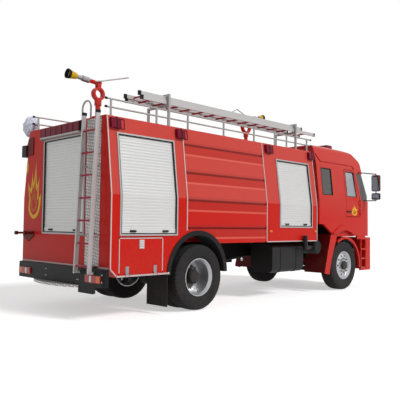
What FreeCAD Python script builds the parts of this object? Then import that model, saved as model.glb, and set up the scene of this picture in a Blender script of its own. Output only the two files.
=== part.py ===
import FreeCAD, Part
import math
import os

from FreeCAD import Vector

# Fire engine, full size, in millimetres.
# X runs forward, Y to the left, Z up from the ground. Lengths are laid out from the rear axle,
# and every piece is then moved so that the whole engine is centred over the origin.

# Half widths that most other sizes follow
BODY_HALF = 1248.0
CAB_HALF = 1240.0

# Running clearances, and how far a cutting tool runs past what it cuts
RUN_FIT = 0.08
SEAT_GAP = 0.3
MOVE_GAP = 6.0
OVER = 20.0

# Wheels and axles
WHEELBASE = 4500.0
TYRE_R = 530.0
TYRE_W = 285.0
RIM_FLANGE_R = 302.0
RIM_WELL_R = 274.0
RIM_WALL = 12.0
RIM_W = 271.0
RIM_LIP = 12.0
RIM_TAPER = 25.0
RIM_EDGE = 13.0
BEAD_CLEAR = 4.0
BEAD_STEP = 5.0
BEAD_IN = 12.0
TYRE_SIDE_R = 420.0
TYRE_BULGE = 8.0
TYRE_SIDE_ROUND = 80.0
TYRE_WALL = 24.0
CROWN_IN = 28.0
CROWN_T = 34.0
SHOULDER_ROUND = 22.0
FRONT_RIM_FACE = CAB_HALF - 55.0
REAR_RIM_FACE = BODY_HALF - 34.0
TWIN_SPACING = 309.0
HUB_R = 115.0
HUB_CAP = 18.0
HUB_END_GAP = 5.0
DISC_T = 20.0
DISC_ROOT = 46.0
SWELL_R = 175.0
SWELL_IN = 14.0
DISH_DEPTH = 44.0
HUB_STAND = 34.0
HUB_CHAMFER = 14.0
WEB_T = 40.0
TWIN_LIP = 8.0
WELL_LAND = 24.0
REAR_SPINDLE_R = 60.0
REAR_SPINDLE_END = REAR_RIM_FACE - 106.0
REAR_HUB_BACK = REAR_RIM_FACE - 594.0
FRONT_SPINDLE_R = 35.0
FRONT_SPINDLE_END = FRONT_RIM_FACE + 5.0
FRONT_HUB_BACK = FRONT_RIM_FACE - 100.0
FRONT_HUB_R = 95.0
HAND_HOLES = 10
HAND_HOLE_R = 22.0
HAND_HOLE_PCR = 205.0
KINGPIN_Y = FRONT_RIM_FACE - 205.0
KINGPIN_R = 25.0
KINGPIN_BOSS_R = 48.0
KINGPIN_BOSS_H = 100.0
YOKE_ARM = 58.0
YOKE_GAP = 2.0
YOKE_WEB_IN = 55.0
YOKE_WEB = 40.0
YOKE_HALF_X = 60.0
STEER_ARM_L = 210.0
STEER_ARM_Y = (-30.0, 10.0)
STEER_ARM_T = 34.0
BEAM_RISE = KINGPIN_Y - 180.0
BEAM_BED = KINGPIN_Y - 420.0
BEAM_BEND = 60.0
AXLE_BEAM_HALF = 45.0
AXLE_BEAM_Z = 360.0
AXLE_BEAM_H = 90.0
REAR_AXLE_R = 75.0
DIFF_R = 210.0
REAR_AXLE_STEP = 12.0
DIFF_HALF = 160.0
DIFF_TAPER = 80.0
DIFF_ROUND = 60.0
DIFF_NOSE_ROOT = DIFF_R - 40.0
DIFF_NOSE_X = 400.0
DIFF_NOSE_R = 80.0

# Chassis
RAIL_OUT = 430.0
RAIL_FLANGE = 80.0
RAIL_WALL = 8.0
RAIL_BOTTOM = 770.0
RAIL_TOP = 1030.0
RAIL_BACK = -1700.0
RAIL_FRONT = 5440.0
CROSS_R = 45.0
CROSS_Z = 930.0
CROSS_X = (-1500.0, 620.0, 1900.0, 3150.0, 5345.0)
BEARER_W = 80.0
REAR_BEARERS = (-1450.0, -700.0)
MAIN_BEARERS = (720.0, 1500.0, 2000.0, 3200.0)
REAR_BEARER_HALF = BODY_HALF - 668.0
MAIN_BEARER_HALF = BODY_HALF - 248.0
HANGER_REACH = 60.0
HANGER_T = 20.0
HANGER_LIFT = 60.0
HANGER_GAP = 5.0
REST_X = (90.0, 160.0)
BRACKET_DROP = 40.0
SPRING_HALF = 780.0
SPRING_EYE_Z = 700.0
SPRING_EYE_R = 32.0
SPRING_W = 80.0
SPRING_T = 50.0
SPRING_PAD = 60.0
SPRING_TAPER = 1.4
SPRING_BED = 0.8

# Body modules
LEAN_IN = 148.0
KNEE_Z = 1784.0
ROOF_HALF = BODY_HALF - LEAN_IN
ROOF_Z = 2917.0
ROOF_EDGE_R = 25.0
BODY_BACK = -1775.0
TANK_BACK = -305.0
TANK_FRONT = 1695.0
BODY_FRONT = 3353.0
SKIRT_Z = 1070.0
REAR_SKIRT_Z = 621.0
TAIL_PANEL_Z = 735.0
TAIL_CHAMFER_X = -1667.0
TAIL_CHAMFER_Z = 725.0
WALL = 30.0
LOCKER_INNER = BODY_HALF - 648.0
LOCKER_DECK_Z = 1200.0
GROOVES_Z = (2636.0, 2183.0, 1745.0, 1307.0)
GROOVE_DEPTH = 22.0
GROOVE_RISE = 70.0
GROOVE_STEP = 3.0
TANK_TUCK = 12.0
ARCH_X = -58.0
ARCH_Z = 609.0
ARCH_R = 671.0
ARCH_BAND = 77.0
ARCH_BAND_IN = BODY_HALF - 298.0
ARCH_BAND_OUT = BODY_HALF + 14.0
ARCH_END_Z = 600.0
WELL_IN = BODY_HALF - 668.0

# Roller shutters: (back, front, bottom, top) of the openings
REAR_SIDE_SHUTTER = (-1580.0, -552.0, 1240.0, 2645.0)
FRONT_SIDE_SHUTTER = (2126.0, 3138.0, 1376.0, 2604.0)
TAIL_SHUTTER = (-560.0, 575.0, 1240.0, 2675.0)
SHUTTER_INSET = 14.0
SHUTTER_T = 18.0
SLAT_PITCH = 45.0
SLAT_GROOVE = 5.0
SHUTTER_RAIL_H = 62.0
SHUTTER_RAIL_T = 6.0
LATCH_L = 110.0
LATCH_H = 26.0
LATCH_T = 18.0
LATCH_INSET = 150.0
LATCH_CORNER = 6.0

# Locker flaps
FLAP_BACK = -1626.0
FLAP_FRONT = -808.0
FLAP_BOTTOM = 650.0
FLAP_TOP = 1175.0
FLAP_T = 25.0
FLAP_REBATE = 31.0
FLAP_LIP = 26.0
FLAP_HINGE_OUT = 9.0
FLAP_HINGE_UP = 8.0
FLAP_BARREL_R = 8.0
FLAP_PIN_R = 4.0
FLAP_BARREL = 60.0
FLAP_HINGE_INSET = 120.0
FLAP_LATCH = (90.0, 6.0, 130.0)
FLAP_LATCH_DROP = 30.0
FLAP_LOUVRES = 4
FLAP_LOUVRE = 7.0
FLAP_LEAF_T = 5.0
FLAP_LEAF_H = 110.0
HINGE_LUG = 10.0
HINGE_END_GAP = 0.5

# Rear mudguards
MUD_FLAP_IN = BODY_HALF - 508.0
MUD_FLAP_OUT = BODY_HALF - 28.0
MUD_FLAP_T = 12.0
MUD_FLAP_Z = 120.0

# Rear bumper, ladder and lamps
BUMPER_BACK = -1860.0
BUMPER_IN = -1781.0
BUMPER_HALF = BODY_HALF - 8.0
BUMPER_BOTTOM = 480.0
BUMPER_TOP = 733.0
BUMPER_WALL = 12.0
BUMPER_CORNER = 60.0
STEP_LEFT = 700.0
STEP_RIGHT = -610.0
STEP_REACH = 150.0
STEP_T = 36.0
TAIL_BOX_Y = (-1020.0, -640.0)
TAIL_BOX_X = (6.0, 14.0)
TAIL_BOX_H = 90.0
TAIL_LAMP_OUT = BUMPER_HALF - 70.0
TAIL_LAMP_IN = TAIL_LAMP_OUT - 380.0
TAIL_LAMP_Z = 542.0
TAIL_LAMP_H = 104.0
TAIL_LAMP_T = 16.0
LADDER_LEFT = -640.0
LADDER_RIGHT = -990.0
LADDER_FOOT_X = -1935.0
LADDER_TOP_X = -1838.0
LADDER_FOOT_Z = 690.0
LADDER_TOP_Z = 2985.0
LADDER_STILE_X = 60.0
LADDER_STILE_Y = 28.0
LADDER_RUNG_R = 14.0
LADDER_RUNGS = 7
LADDER_RUNG_Z = 762.0
LADDER_PITCH = 325.0
LADDER_STAY_Z = (1200.0, 2200.0)
LADDER_STAY_R = 12.0
LADDER_FOOT_LUG = 30.0
LADDER_CAP = 40.0
LADDER_CAP_T = 3.0

# Fittings on the tail panel
GUTTER_Y = (-500.0, 630.0)
GUTTER_Z = 2722.0
GUTTER_H = 22.0
GUTTER_REACH = 74.0
GUTTER_GUSSET = 60.0
GUTTER_PLATE = 10.0
GUTTER_T = 6.0
HOOK_Y = (BODY_HALF - 368.0, BODY_HALF - 8.0)
HOOK_Z = (1060.0, 1235.0)
HOOK_PLATE = 12.0
HOOK_ARM_R = 18.0
HOOK_BUFFER_R = 32.0
HOOK_REACH = 125.0
HOOK_BUFFER_L = 45.0
WORK_LAMP_Y = (BODY_HALF - 88.0, BODY_HALF + 62.0)
WORK_LAMP_Z = (2485.0, 2685.0)
WORK_LAMP_L = 100.0
WORK_LAMP_CORNER = 18.0
WORK_LAMP_PLATE_Y = BODY_HALF - 288.0
WORK_LAMP_PLATE_Z = 2800.0
KNOB_Y = -850.0
KNOB_R = 42.0
KNOB_T = 28.0
KNOB_STAND = 18.0
KNOB_LOBES = 8
KNOB_LOBE_R = 9.0

# Warning lamps
SIDE_LAMPS_X = (-1644.0, -383.0, 1867.0, 3268.0)
SIDE_LAMP_L = 170.0
SIDE_LAMP_Z = 2735.0
SIDE_LAMP_H = 145.0
SIDE_LAMP_T = 55.0
TAIL_ROW_FROM = -480.0
TAIL_ROW_TO = 650.0
TAIL_ROW_LAMPS = 7
TAIL_ROW_GAP = 18.0
TAIL_ROW_Z = 2752.0
TAIL_ROW_H = 140.0
TAIL_ROW_T = 60.0
MARKERS_X = (1773.0, 3235.0)
MARKER_Z = 1250.0
MARKER_L = 80.0
MARKER_H = 40.0
MARKER_T = 14.0

# Roof railing, ladder rack and roof ladder
RAILING_Y = ROOF_HALF - 58.0
RAILING_POSTS = (-1660.0, -800.0, -130.0, 733.0, 1562.0, 2186.0, 2571.0, 3268.0)
RAILING_POST_R = 17.0
RAILING_BACK = -1760.0
RAILING_FRONT = 3420.0
RAILING_TOP_Z = ROOF_Z + 248.0
RAILING_LOW_Z = RAILING_TOP_Z - 120.0
RAILING_RAIL_R = 13.0
RAILING_FOOT_R = 34.0
RAILING_FOOT_T = 8.0
RAILING_CAP_R = 18.0
RAILING_CAP_L = 30.0
RACK_X = (-567.0, 2860.0)
RACK_TUBE = 36.0
ROOF_LADDER_Y = -(RAILING_Y - 227.0)
RACK_INNER_Y = ROOF_LADDER_Y + 255.0
LOWER_LADDER_HALF = 205.0
UPPER_LADDER_HALF = 190.0
LOWER_LADDER_X = (-1085.0, 3600.0)
UPPER_LADDER_X = (-1120.0, 3150.0)
ROOF_STILE_W = 30.0
ROOF_STILE_H = 62.0
ROOF_RUNG_R = 14.0
ROOF_RUNG_PITCH = 300.0
LOWER_LADDER_Z = 3270.0
HANDRAIL_R = 14.0
HANDRAIL_X = -1730.0
HANDRAIL_Y = (-420.0, -640.0)
HANDRAIL_TOP_Z = 3200.0

# Monitors: swivel axis, height of the swivel seat and of the lift pivot
REAR_MONITOR_X = -1690.0
REAR_MONITOR_Y = -760.0
REAR_MONITOR_SEAT = 3100.0
REAR_MONITOR_LIFT = 3430.0
REAR_NOZZLE_TIP = -2220.0
REAR_NOZZLE_RISE = 45.0
REAR_LEVER_LENGTH = 540.0
REAR_LEVER_ANGLE = 24.0
FRONT_MONITOR_X = 2560.0
FRONT_MONITOR_SEAT = 3240.0
FRONT_MONITOR_LIFT = 3640.0
FRONT_NOZZLE_LENGTH = 560.0
FRONT_NOZZLE_RISE = 80.0
MONITOR_PIPE_R = 38.0
MONITOR_FLANGE_R = 85.0
MONITOR_FLANGE_T = 16.0
MONITOR_POST_R = 30.0
MONITOR_SPIGOT = 60.0
RING_WALL = 34.0
RING_DROP = 60.0
COLLAR_WALL = 14.0
COLLAR_LIP = 8.0
MOUTH_FLARE = 14.0
COUPLING_SPAN = (0.45, 0.75)
TOW_R = 38.0
TOW_BORE_R = 25.0
TOW_BORE_L = 160.0
TOW_Z = 890.0
TOW_Y = 415.0
TOW_GAP = 6.0
TOW_PROUD = 4.0
LIFT_PIN_R = 20.0
LIFT_EYE_R = 42.0
LIFT_EYE_T = 40.0
LIFT_CHEEK = 16.0
LIFT_CHEEK_R = 38.0
BARREL_START = 60.0
HANDLE_SIDE = 56.0
HANDLE_FOOT = 80.0
LIFT_CHEEK_GAP = 1.0
BARREL_R = 30.0
COUPLING_R = 42.0
BELL_R = 72.0
BELL_MOUTH_R = 46.0
BELL_L = 150.0
BELL_DEPTH = 90.0
LEVER_R = 10.0
LEVER_LIFT = 25.0
BAIL_PATH = ((HANDLE_FOOT + 50.0, 0, 20.0), (HANDLE_FOOT + 50.0, 1, 20.0), (-200.0, 1, 190.0),
             (-580.0, 1, 60.0), (-330.0, 1, -30.0))

# Wrapped search lamp on the left rear corner
WRAP_X = -1660.0
WRAP_Y = BODY_HALF + 37.0
WRAP_Z = 3025.0
WRAP_R = (150.0, 150.0, 210.0)
WRAP_STEM_R = 16.0

# Front bumper and steps
NOSE_X = 5730.0
FRONT_BUMPER_BACK = 5140.0
FRONT_BUMPER_HALF = CAB_HALF
FRONT_BUMPER_BOTTOM = 390.0
FRONT_BUMPER_TOP = 1130.0
FRONT_BUMPER_WALL = 45.0
FRONT_BUMPER_CORNER = 200.0
FRONT_BUMPER_TUCK = 100.0
FRONT_BUMPER_CHIN = 240.0
STEP_WELL = (5172.0, 5368.0)
STEP_WELL_Z = (430.0, 1090.0)
STEP_WELL_DEPTH = 170.0
STEP_CHEEK = 8.0
STEP_TREADS = 3
STEP_TREAD_T = 30.0
HEADLAMP_OUT = FRONT_BUMPER_HALF - 260.0
HEADLAMP_IN = HEADLAMP_OUT - 340.0
HEADLAMP_Z = (700.0, 930.0)
HEADLAMP_T = 60.0
HEADLAMP_SINK = 4.0
STEP_SINK = 4.0

# Front mudguards below the cab
FRONT_ARCH_X = 4460.0
FRONT_ARCH_Z = 600.0
FRONT_ARCH_R = 690.0
FLARE_W = 110.0
FLARE_OUT = 20.0
GUARD_IN = CAB_HALF - 510.0
GUARD_TOP_Z = 1204.0
GUARD_KNEE_Z = 715.0
GUARD_BOTTOM_Z = 366.0
GUARD_TAIL_Z = 402.0
GUARD_BACK = (3890.0, 3735.0, 3657.0)
GUARD_FRONT = (4150.0, 3925.0, 3833.0)
GUARD_BEND_R = 2000.0
GUARD_SKIN = 24.0
GUARD_STAY_R = 14.0
GUARD_STAY_Z = 880.0

# Tanks, boxes and driveline under the body
FUEL_BACK = 2000.0
FUEL_FRONT = 3000.0
FUEL_BOTTOM = 480.0
FUEL_TOP = 1022.0
FUEL_IN = RAIL_OUT + 190.0
FUEL_OUT = BODY_HALF - 98.0
FUEL_CORNER = 110.0
STRAP_X = (2250.0, 2750.0)
STRAP_W = 60.0
STRAP_T = 6.0
BATTERY_BACK = 2150.0
BATTERY_FRONT = 2850.0
BATTERY_BOTTOM = 560.0
BATTERY_OUT = BODY_HALF - 148.0
CLEANER_X = 3510.0
CLEANER_Z = 943.0
CLEANER_R = 140.0
CLEANER_IN = RAIL_OUT + 220.0
CLEANER_OUT = CAB_HALF - 90.0
CLEANER_CAP = 14.0
CLEANER_FOOT = 40.0
CLEANER_FOOT_Z = (-60.0, 20.0)
INTAKE_R = 44.0
INTAKE_Y = BODY_HALF + 58.0
INTAKE_X = 2850.0
INTAKE_TOP = 1185.0
ENGINE_X = (4050.0, 5150.0)
ENGINE_HALF = 320.0
ENGINE_Z = (640.0, 1360.0)
ENGINE_FOOT = 30.0
GEARBOX_BACK = 3300.0
GEARBOX_Z = 850.0
SHAFT_R = 45.0
RADIATOR_T = 90.0
RADIATOR_DROP = 60.0
GEARBOX_R = (110.0, 195.0)
STUB_L = 100.0
STUB_R = DIFF_NOSE_R - 15.0
ENGINE_FEET = (200.0, 850.0)
ENGINE_FOOT_W = 90.0

# Cab
CAB_BACK = 3440.0
CAB_NOSE = 5655.0
CHIN_TUCK = 55.0
NOSE_ROUND = 400.0
SCREEN_FOOT = 95.0
SCREEN_FOOT_Z = 1880.0
SCREEN_HEAD = 355.0
BROW = 365.0
BROW_DROP = 268.0
ROOF_FRONT = 695.0
ROOF_FRONT_DROP = 78.0
ROOF_CREST_X = 4200.0
ROOF_FALL = 38.0
WAIST_Z = 1950.0
SEAM_IN = 75.0
EAVE_IN = 165.0
EAVE_DROP = 68.0
CROWN_FLAT_IN = 360.0
CAB_LIFT = 45.0
CAB_TAIL = (3961.0, 3600.0)
CAB_TAIL_ROUND = 120.0
ARCH_DEPTH = 500.0
RECESS_X = (3640.0, 4930.0)
RECESS_TOP = 82.0
RECESS_SLOPE = 80.0
RECESS_REAR_TOP = 240.0
RECESS_DEPTH = 16.0
CAB_WALL = 50.0
CAB_BOTTOM = 1165.0
CAB_FLOOR = 1460.0
FLOOR_T = 40.0
ROOF_SEAM = 2660.0
CAB_ROOF_TOP = ROOF_SEAM + 458.0
CAB_CORNER = 250.0
TILT_X = 5580.0
TILT_Z = 1120.0
TILT_PIN_R = 18.0
TILT_EYE_R = 34.0
TILT_NECK = 60.0
TILT_LUG_Y = (410.0, 450.0)
TILT_EAR = 28.0
TILT_EAR_GAP = 2.0
TILT_FOOT = 40.0
TILT_BASE_LIFT = 30.0
TILT_BASE_DROP = 140.0
DOOR_BACK = 4510.0
DOOR_FRONT = 5100.0
DOOR_SILL = 1600.0
DOOR_HEAD = ROOF_SEAM - 30.0
DOOR_T = 32.0
DOOR_GAP = 11.0
DOOR_HINGE_R = 11.0
DOOR_PIN_R = 6.0
DOOR_HINGE_L = 50.0
DOOR_HINGES_Z = (1680.0, 1880.0)
DOOR_HINGE_OUT = 12.0
HINGE_LEAF_T = 8.0
DOOR_HANDLE_IN = 4.0
HINGE_LEAF = 40.0
DOOR_HANDLE_X = (4548.0, 4720.0)
DOOR_HANDLE_Z = 1690.0
DOOR_HANDLE_H = 28.0
DOOR_HANDLE_OUT = 24.0
WINDOW_BASE = 2045.0
WINDOW_TOP = DOOR_HEAD - 45.0
PILLAR_TOP_X = 4905.0
GLASS_T = 6.0
GLASS_INSET = 14.0
QUARTER = (3596.0, 3976.0)
QUARTER_RISE = 10.0
SIDE_DEPTH = 200.0
SCREEN_BASE = 1960.0
SCREEN_TOP = ROOF_SEAM - 80.0
SCREEN_SIDE = (5030.0, 5190.0)
GRILLE_HALF = CAB_HALF - 420.0
GRILLE_Z = (1260.0, 1680.0)
GRILLE_BARS = 5
GRILLE_DEPTH = 24.0
GRILLE_BAR = 40.0
GRILLE_BACK_T = 8.0
SEAT_Y = CAB_HALF / 2.0
SEAT_W = 520.0
SEAT_X = 4150.0
SEAT_L = 520.0
SEAT_BASE = 260.0
SEAT_PLINTH_IN = 60.0
CUSHION_T = 130.0
SEAT_BACK_H = 750.0
SEAT_LEAN = 110.0
BENCH_X = (120.0, 520.0)
BENCH_H = 420.0
TRIM_GAP = 60.0
DASH_X = 5060.0
DASH_TOP = 1960.0
DASH_L = 400.0
DASH_FACE = 200.0
DASH_TUCK = 60.0
WHEEL_RING_R = 215.0
WHEEL_TUBE_R = 15.0
WHEEL_AXIS = (-0.8, 0, 0.6)
COLUMN_L = 160.0
COLUMN_R = 28.0
SPOKE_R = 11.0
BEACON_X = 4620.0
BEACON_W = 290.0
BEACON_HALF = CAB_HALF - 500.0
BEACON_H = 200.0
BEACON_RISE = 100.0
BEACON_SLOPE = 35.0
VISOR_REACH = 90.0
VISOR_BACK = 555.0
VISOR_HALF = CAB_HALF - 240.0
VISOR_H = 46.0
MIRROR_Y = CAB_HALF + 260.0
MIRROR_X = 5360.0
MIRROR_TOP = SCREEN_TOP - 10.0
MIRROR_LOW = 1990.0
MIRROR_TUBE_R = 11.0
MIRROR_ARM_TOP = 535.0
MIRROR_ARM_LOW = 365.0
MIRROR_CORNER = 35.0
MIRROR_HEAD = (60.0, 190.0, 370.0)
MIRROR_SMALL = (60.0, 190.0, 150.0)

MID_X = (NOSE_X + REAR_NOZZLE_TIP) / 2.0
AXLE_Z = TYRE_R
FRONT_X = WHEELBASE


def box(x0, x1, y0, y1, z0, z1):
    """Block between two opposite corners."""
    return Part.makeBox(x1 - x0, y1 - y0, z1 - z0, Vector(x0, y0, z0))


def rod(start, end, radius):
    """Round bar from one point to another."""
    a, b = Vector(*start), Vector(*end)
    return Part.makeCylinder(radius, (b - a).Length, a, b - a)


def fused(shapes):
    """One shape out of pieces that meet or overlap."""
    whole = shapes[0].fuse(shapes[1:]) if len(shapes) > 1 else shapes[0]
    return whole.removeSplitter()


def mirrored(shape):
    """The same piece on the other side of the engine."""
    return shape.mirror(Vector(0, 0, 0), Vector(0, 1, 0))


def both(shape):
    """A piece of the left side and its twin on the right."""
    return [shape, mirrored(shape)]


def together(shapes):
    """Like pieces that share one node without touching."""
    return Part.makeCompound(shapes)


def corner_wire(points, place):
    """Closed outline through (u, v, radius) corners, each rounded by a tangent arc."""
    stops = []
    for i, (u, v, r) in enumerate(points):
        here = Vector(u, v, 0)
        back = Vector(*points[i - 1][:2], 0) - here
        ahead = Vector(*points[(i + 1) % len(points)][:2], 0) - here
        if r <= 0:
            stops.append((here, None, here))
            continue
        back.normalize()
        ahead.normalize()
        half = back.getAngle(ahead) / 2.0
        reach = r / math.tan(half)
        middle = (back + ahead).normalize() * (r / math.sin(half) - r)
        stops.append((here + back * reach, here + middle, here + ahead * reach))
    edges = []
    for i, (start, middle, end) in enumerate(stops):
        if middle is not None:
            edges.append(Part.Arc(place(start), place(middle), place(end)).toShape())
        following = stops[(i + 1) % len(stops)][0]
        if (following - end).Length > 1e-6:
            edges.append(Part.LineSegment(place(end), place(following)).toShape())
    return Part.Wire(edges)


def side_plate(points, y0, y1):
    """Plate with an outline in X and Z, from y0 to y1."""
    wire = corner_wire(points, lambda p: Vector(p.x, y0, p.y))
    return Part.Face(wire).extrude(Vector(0, y1 - y0, 0))


def cross_plate(points, x0, x1):
    """Plate with an outline in Y and Z, from x0 to x1."""
    wire = corner_wire(points, lambda p: Vector(x0, p.x, p.y))
    return Part.Face(wire).extrude(Vector(x1 - x0, 0, 0))


def plan_plate(points, z0, z1):
    """Plate with an outline in X and Y, from z0 to z1."""
    wire = corner_wire(points, lambda p: Vector(p.x, p.y, z0))
    return Part.Face(wire).extrude(Vector(0, 0, z1 - z0))


def symmetric(points):
    """Outline of a cross section from its left half, given from the bottom up."""
    return [(-u, v, r) for u, v, r in points] + [(u, v, r) for u, v, r in reversed(points)]


def turned(points, x, z):
    """Solid of revolution about the wheel axis at x, z from (radius, y, corner) points."""
    wire = corner_wire(points, lambda p: Vector(x, p.y, z + p.x))
    return Part.Face(wire).revolve(Vector(x, 0, z), Vector(0, 1, 0), 360)


# Wheels

def tyre(x, middle):
    """Hollow tyre whose beads sit between the rim flanges."""
    seat_r = RIM_WELL_R + SEAT_GAP
    bead = RIM_W / 2.0 - RIM_LIP - RIM_TAPER - BEAD_CLEAR
    flange = RIM_W / 2.0 - RIM_LIP - SEAT_GAP * 2
    half = TYRE_W / 2.0
    outer = [(seat_r, bead, 0), (RIM_FLANGE_R + 1, flange, 0), (RIM_FLANGE_R + BEAD_STEP, half - BEAD_IN, 0),
             (TYRE_SIDE_R, half + TYRE_BULGE, TYRE_SIDE_ROUND), (TYRE_R, half - CROWN_IN, SHOULDER_ROUND)]
    inner = [(seat_r, bead - 2 * TYRE_BULGE, 0), (RIM_FLANGE_R + TYRE_WALL, half - BEAD_IN - TYRE_WALL, 0),
             (TYRE_SIDE_R, half + TYRE_BULGE - TYRE_WALL, TYRE_SIDE_ROUND - TYRE_WALL),
             (TYRE_R - CROWN_T, half - CROWN_IN - TYRE_WALL, SHOULDER_ROUND)]
    ring = ([(r, middle + y, c) for r, y, c in outer] + [(r, middle - y, c) for r, y, c in reversed(outer)]
            + [(r, middle - y, c) for r, y, c in inner] + [(r, middle + y, c) for r, y, c in reversed(inner)])
    return turned(ring, x, AXLE_Z)


def rim_barrel(face):
    """Outer side of one rim from its outboard flange to its inboard one."""
    back = face - RIM_W
    return [(RIM_FLANGE_R, face, 0), (RIM_FLANGE_R, face - RIM_LIP, 0),
            (RIM_WELL_R, face - RIM_LIP - RIM_TAPER, 0), (RIM_WELL_R, back + RIM_LIP + RIM_TAPER, 0),
            (RIM_FLANGE_R, back + RIM_LIP, 0), (RIM_FLANGE_R, back, 0)]


def hand_holes(x, y0, y1):
    """Ring of round holes through the wheel disc."""
    holes = []
    for i in range(HAND_HOLES):
        angle = 2 * math.pi * i / HAND_HOLES
        cx = x + HAND_HOLE_PCR * math.cos(angle)
        cz = AXLE_Z + HAND_HOLE_PCR * math.sin(angle)
        holes.append(rod((cx, y0, cz), (cx, y1, cz), HAND_HOLE_R))
    return holes


def front_rim():
    """Steel front wheel with a disc that bulges outboard and a closed hub."""
    face = FRONT_RIM_FACE
    inner_r = RIM_WELL_R - RIM_WALL
    bore = FRONT_SPINDLE_R + RUN_FIT
    swell = face - SWELL_IN
    hub_face = face + HUB_STAND
    points = [(bore, FRONT_HUB_BACK, 0), (FRONT_HUB_R, FRONT_HUB_BACK, 0), (FRONT_HUB_R, swell - DISC_T, 0),
              (SWELL_R, swell - DISC_T, 0), (inner_r, face - DISH_DEPTH - DISC_ROOT, 0),
              (inner_r, face - RIM_W + WELL_LAND, 0), (RIM_FLANGE_R - RIM_EDGE, face - RIM_W, 0)]
    points += list(reversed(rim_barrel(face)))
    points += [(RIM_FLANGE_R - RIM_EDGE, face, 0), (inner_r, face - DISH_DEPTH, 0), (SWELL_R, swell, 0),
               (FRONT_HUB_R, swell, 0), (FRONT_HUB_R, hub_face - HUB_CHAMFER, 0),
               (FRONT_HUB_R - HUB_CHAMFER, hub_face, 0), (0, hub_face, 0),
               (0, FRONT_SPINDLE_END + HUB_END_GAP, 0), (bore, FRONT_SPINDLE_END + HUB_END_GAP, 0)]
    disc = turned(points, FRONT_X, AXLE_Z)
    return disc.cut(hand_holes(FRONT_X, face - RIM_W / 2.0, face + OVER))


def twin_rim():
    """Pair of rear rims bolted back to back on one hub."""
    face = REAR_RIM_FACE
    inner_face = face - TWIN_SPACING
    inner_r = RIM_WELL_R - RIM_WALL
    bore = REAR_SPINDLE_R + RUN_FIT
    web = (inner_face + face - RIM_W) / 2.0
    web_in, web_out = web - WEB_T / 2.0, web + WEB_T / 2.0
    points = [(bore, REAR_HUB_BACK, 0), (HUB_R, REAR_HUB_BACK, 0), (HUB_R, web_in, 0),
              (inner_r, web_in, 0), (inner_r, inner_face - RIM_W + WELL_LAND, 0),
              (RIM_FLANGE_R - RIM_EDGE, inner_face - RIM_W, 0)]
    points += list(reversed(rim_barrel(inner_face)))
    points += [(RIM_WELL_R + TWIN_LIP, inner_face + TWIN_LIP, 0),
               (RIM_WELL_R + TWIN_LIP, face - RIM_W - TWIN_LIP, 0)]
    points += list(reversed(rim_barrel(face)))
    points += [(RIM_FLANGE_R - RIM_EDGE, face, 0), (inner_r, face - DISH_DEPTH, 0), (inner_r,
                                                                                     web_out + TWIN_LIP, 0),
               (SWELL_R, web_out, 0), (HUB_R, web_out, 0), (HUB_R, REAR_SPINDLE_END - HUB_CHAMFER, 0),
               (HUB_R - HUB_CAP, REAR_SPINDLE_END + HUB_CAP, 0), (0, REAR_SPINDLE_END + HUB_CAP, 0),
               (0, REAR_SPINDLE_END + HUB_END_GAP, 0), (bore, REAR_SPINDLE_END + HUB_END_GAP, 0)]
    pair = turned(points, 0, AXLE_Z)
    return pair.cut(hand_holes(0, web_in - WEB_T, web_out + WEB_T))


def front_tyre():
    return tyre(FRONT_X, FRONT_RIM_FACE - RIM_W / 2.0)


def rear_tyres():
    outer = REAR_RIM_FACE - RIM_W / 2.0
    return together([tyre(0, outer), tyre(0, outer - TWIN_SPACING)])


# Axles, springs and knuckles

def front_axle():
    """Dropped beam with an upright kingpin in each end."""
    top = AXLE_Z + KINGPIN_BOSS_H / 2.0
    low = AXLE_Z - KINGPIN_BOSS_H / 2.0
    end = KINGPIN_Y - OVER
    r = BEAM_BEND
    bed_top = AXLE_BEAM_Z + AXLE_BEAM_H
    half = [(BEAM_BED, AXLE_BEAM_Z, r), (BEAM_RISE, low, r), (end, low, 0),
            (end, top, 0), (BEAM_RISE - OVER, top, r), (BEAM_BED - OVER, bed_top, r)]
    outline = [(-u, v, r) for u, v, r in reversed(half[:3])] + half[:3]
    outline += half[3:] + [(-u, v, r) for u, v, r in reversed(half[3:])]
    beam = cross_plate(outline, FRONT_X - AXLE_BEAM_HALF, FRONT_X + AXLE_BEAM_HALF)
    pins = []
    for side in (-1, 1):
        y = side * KINGPIN_Y
        pins.append(rod((FRONT_X, y, low), (FRONT_X, y, top), KINGPIN_BOSS_R))
        reach = YOKE_GAP + YOKE_ARM
        pins.append(rod((FRONT_X, y, low - reach), (FRONT_X, y, top + reach), KINGPIN_R))
    return fused([beam] + pins)


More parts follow.
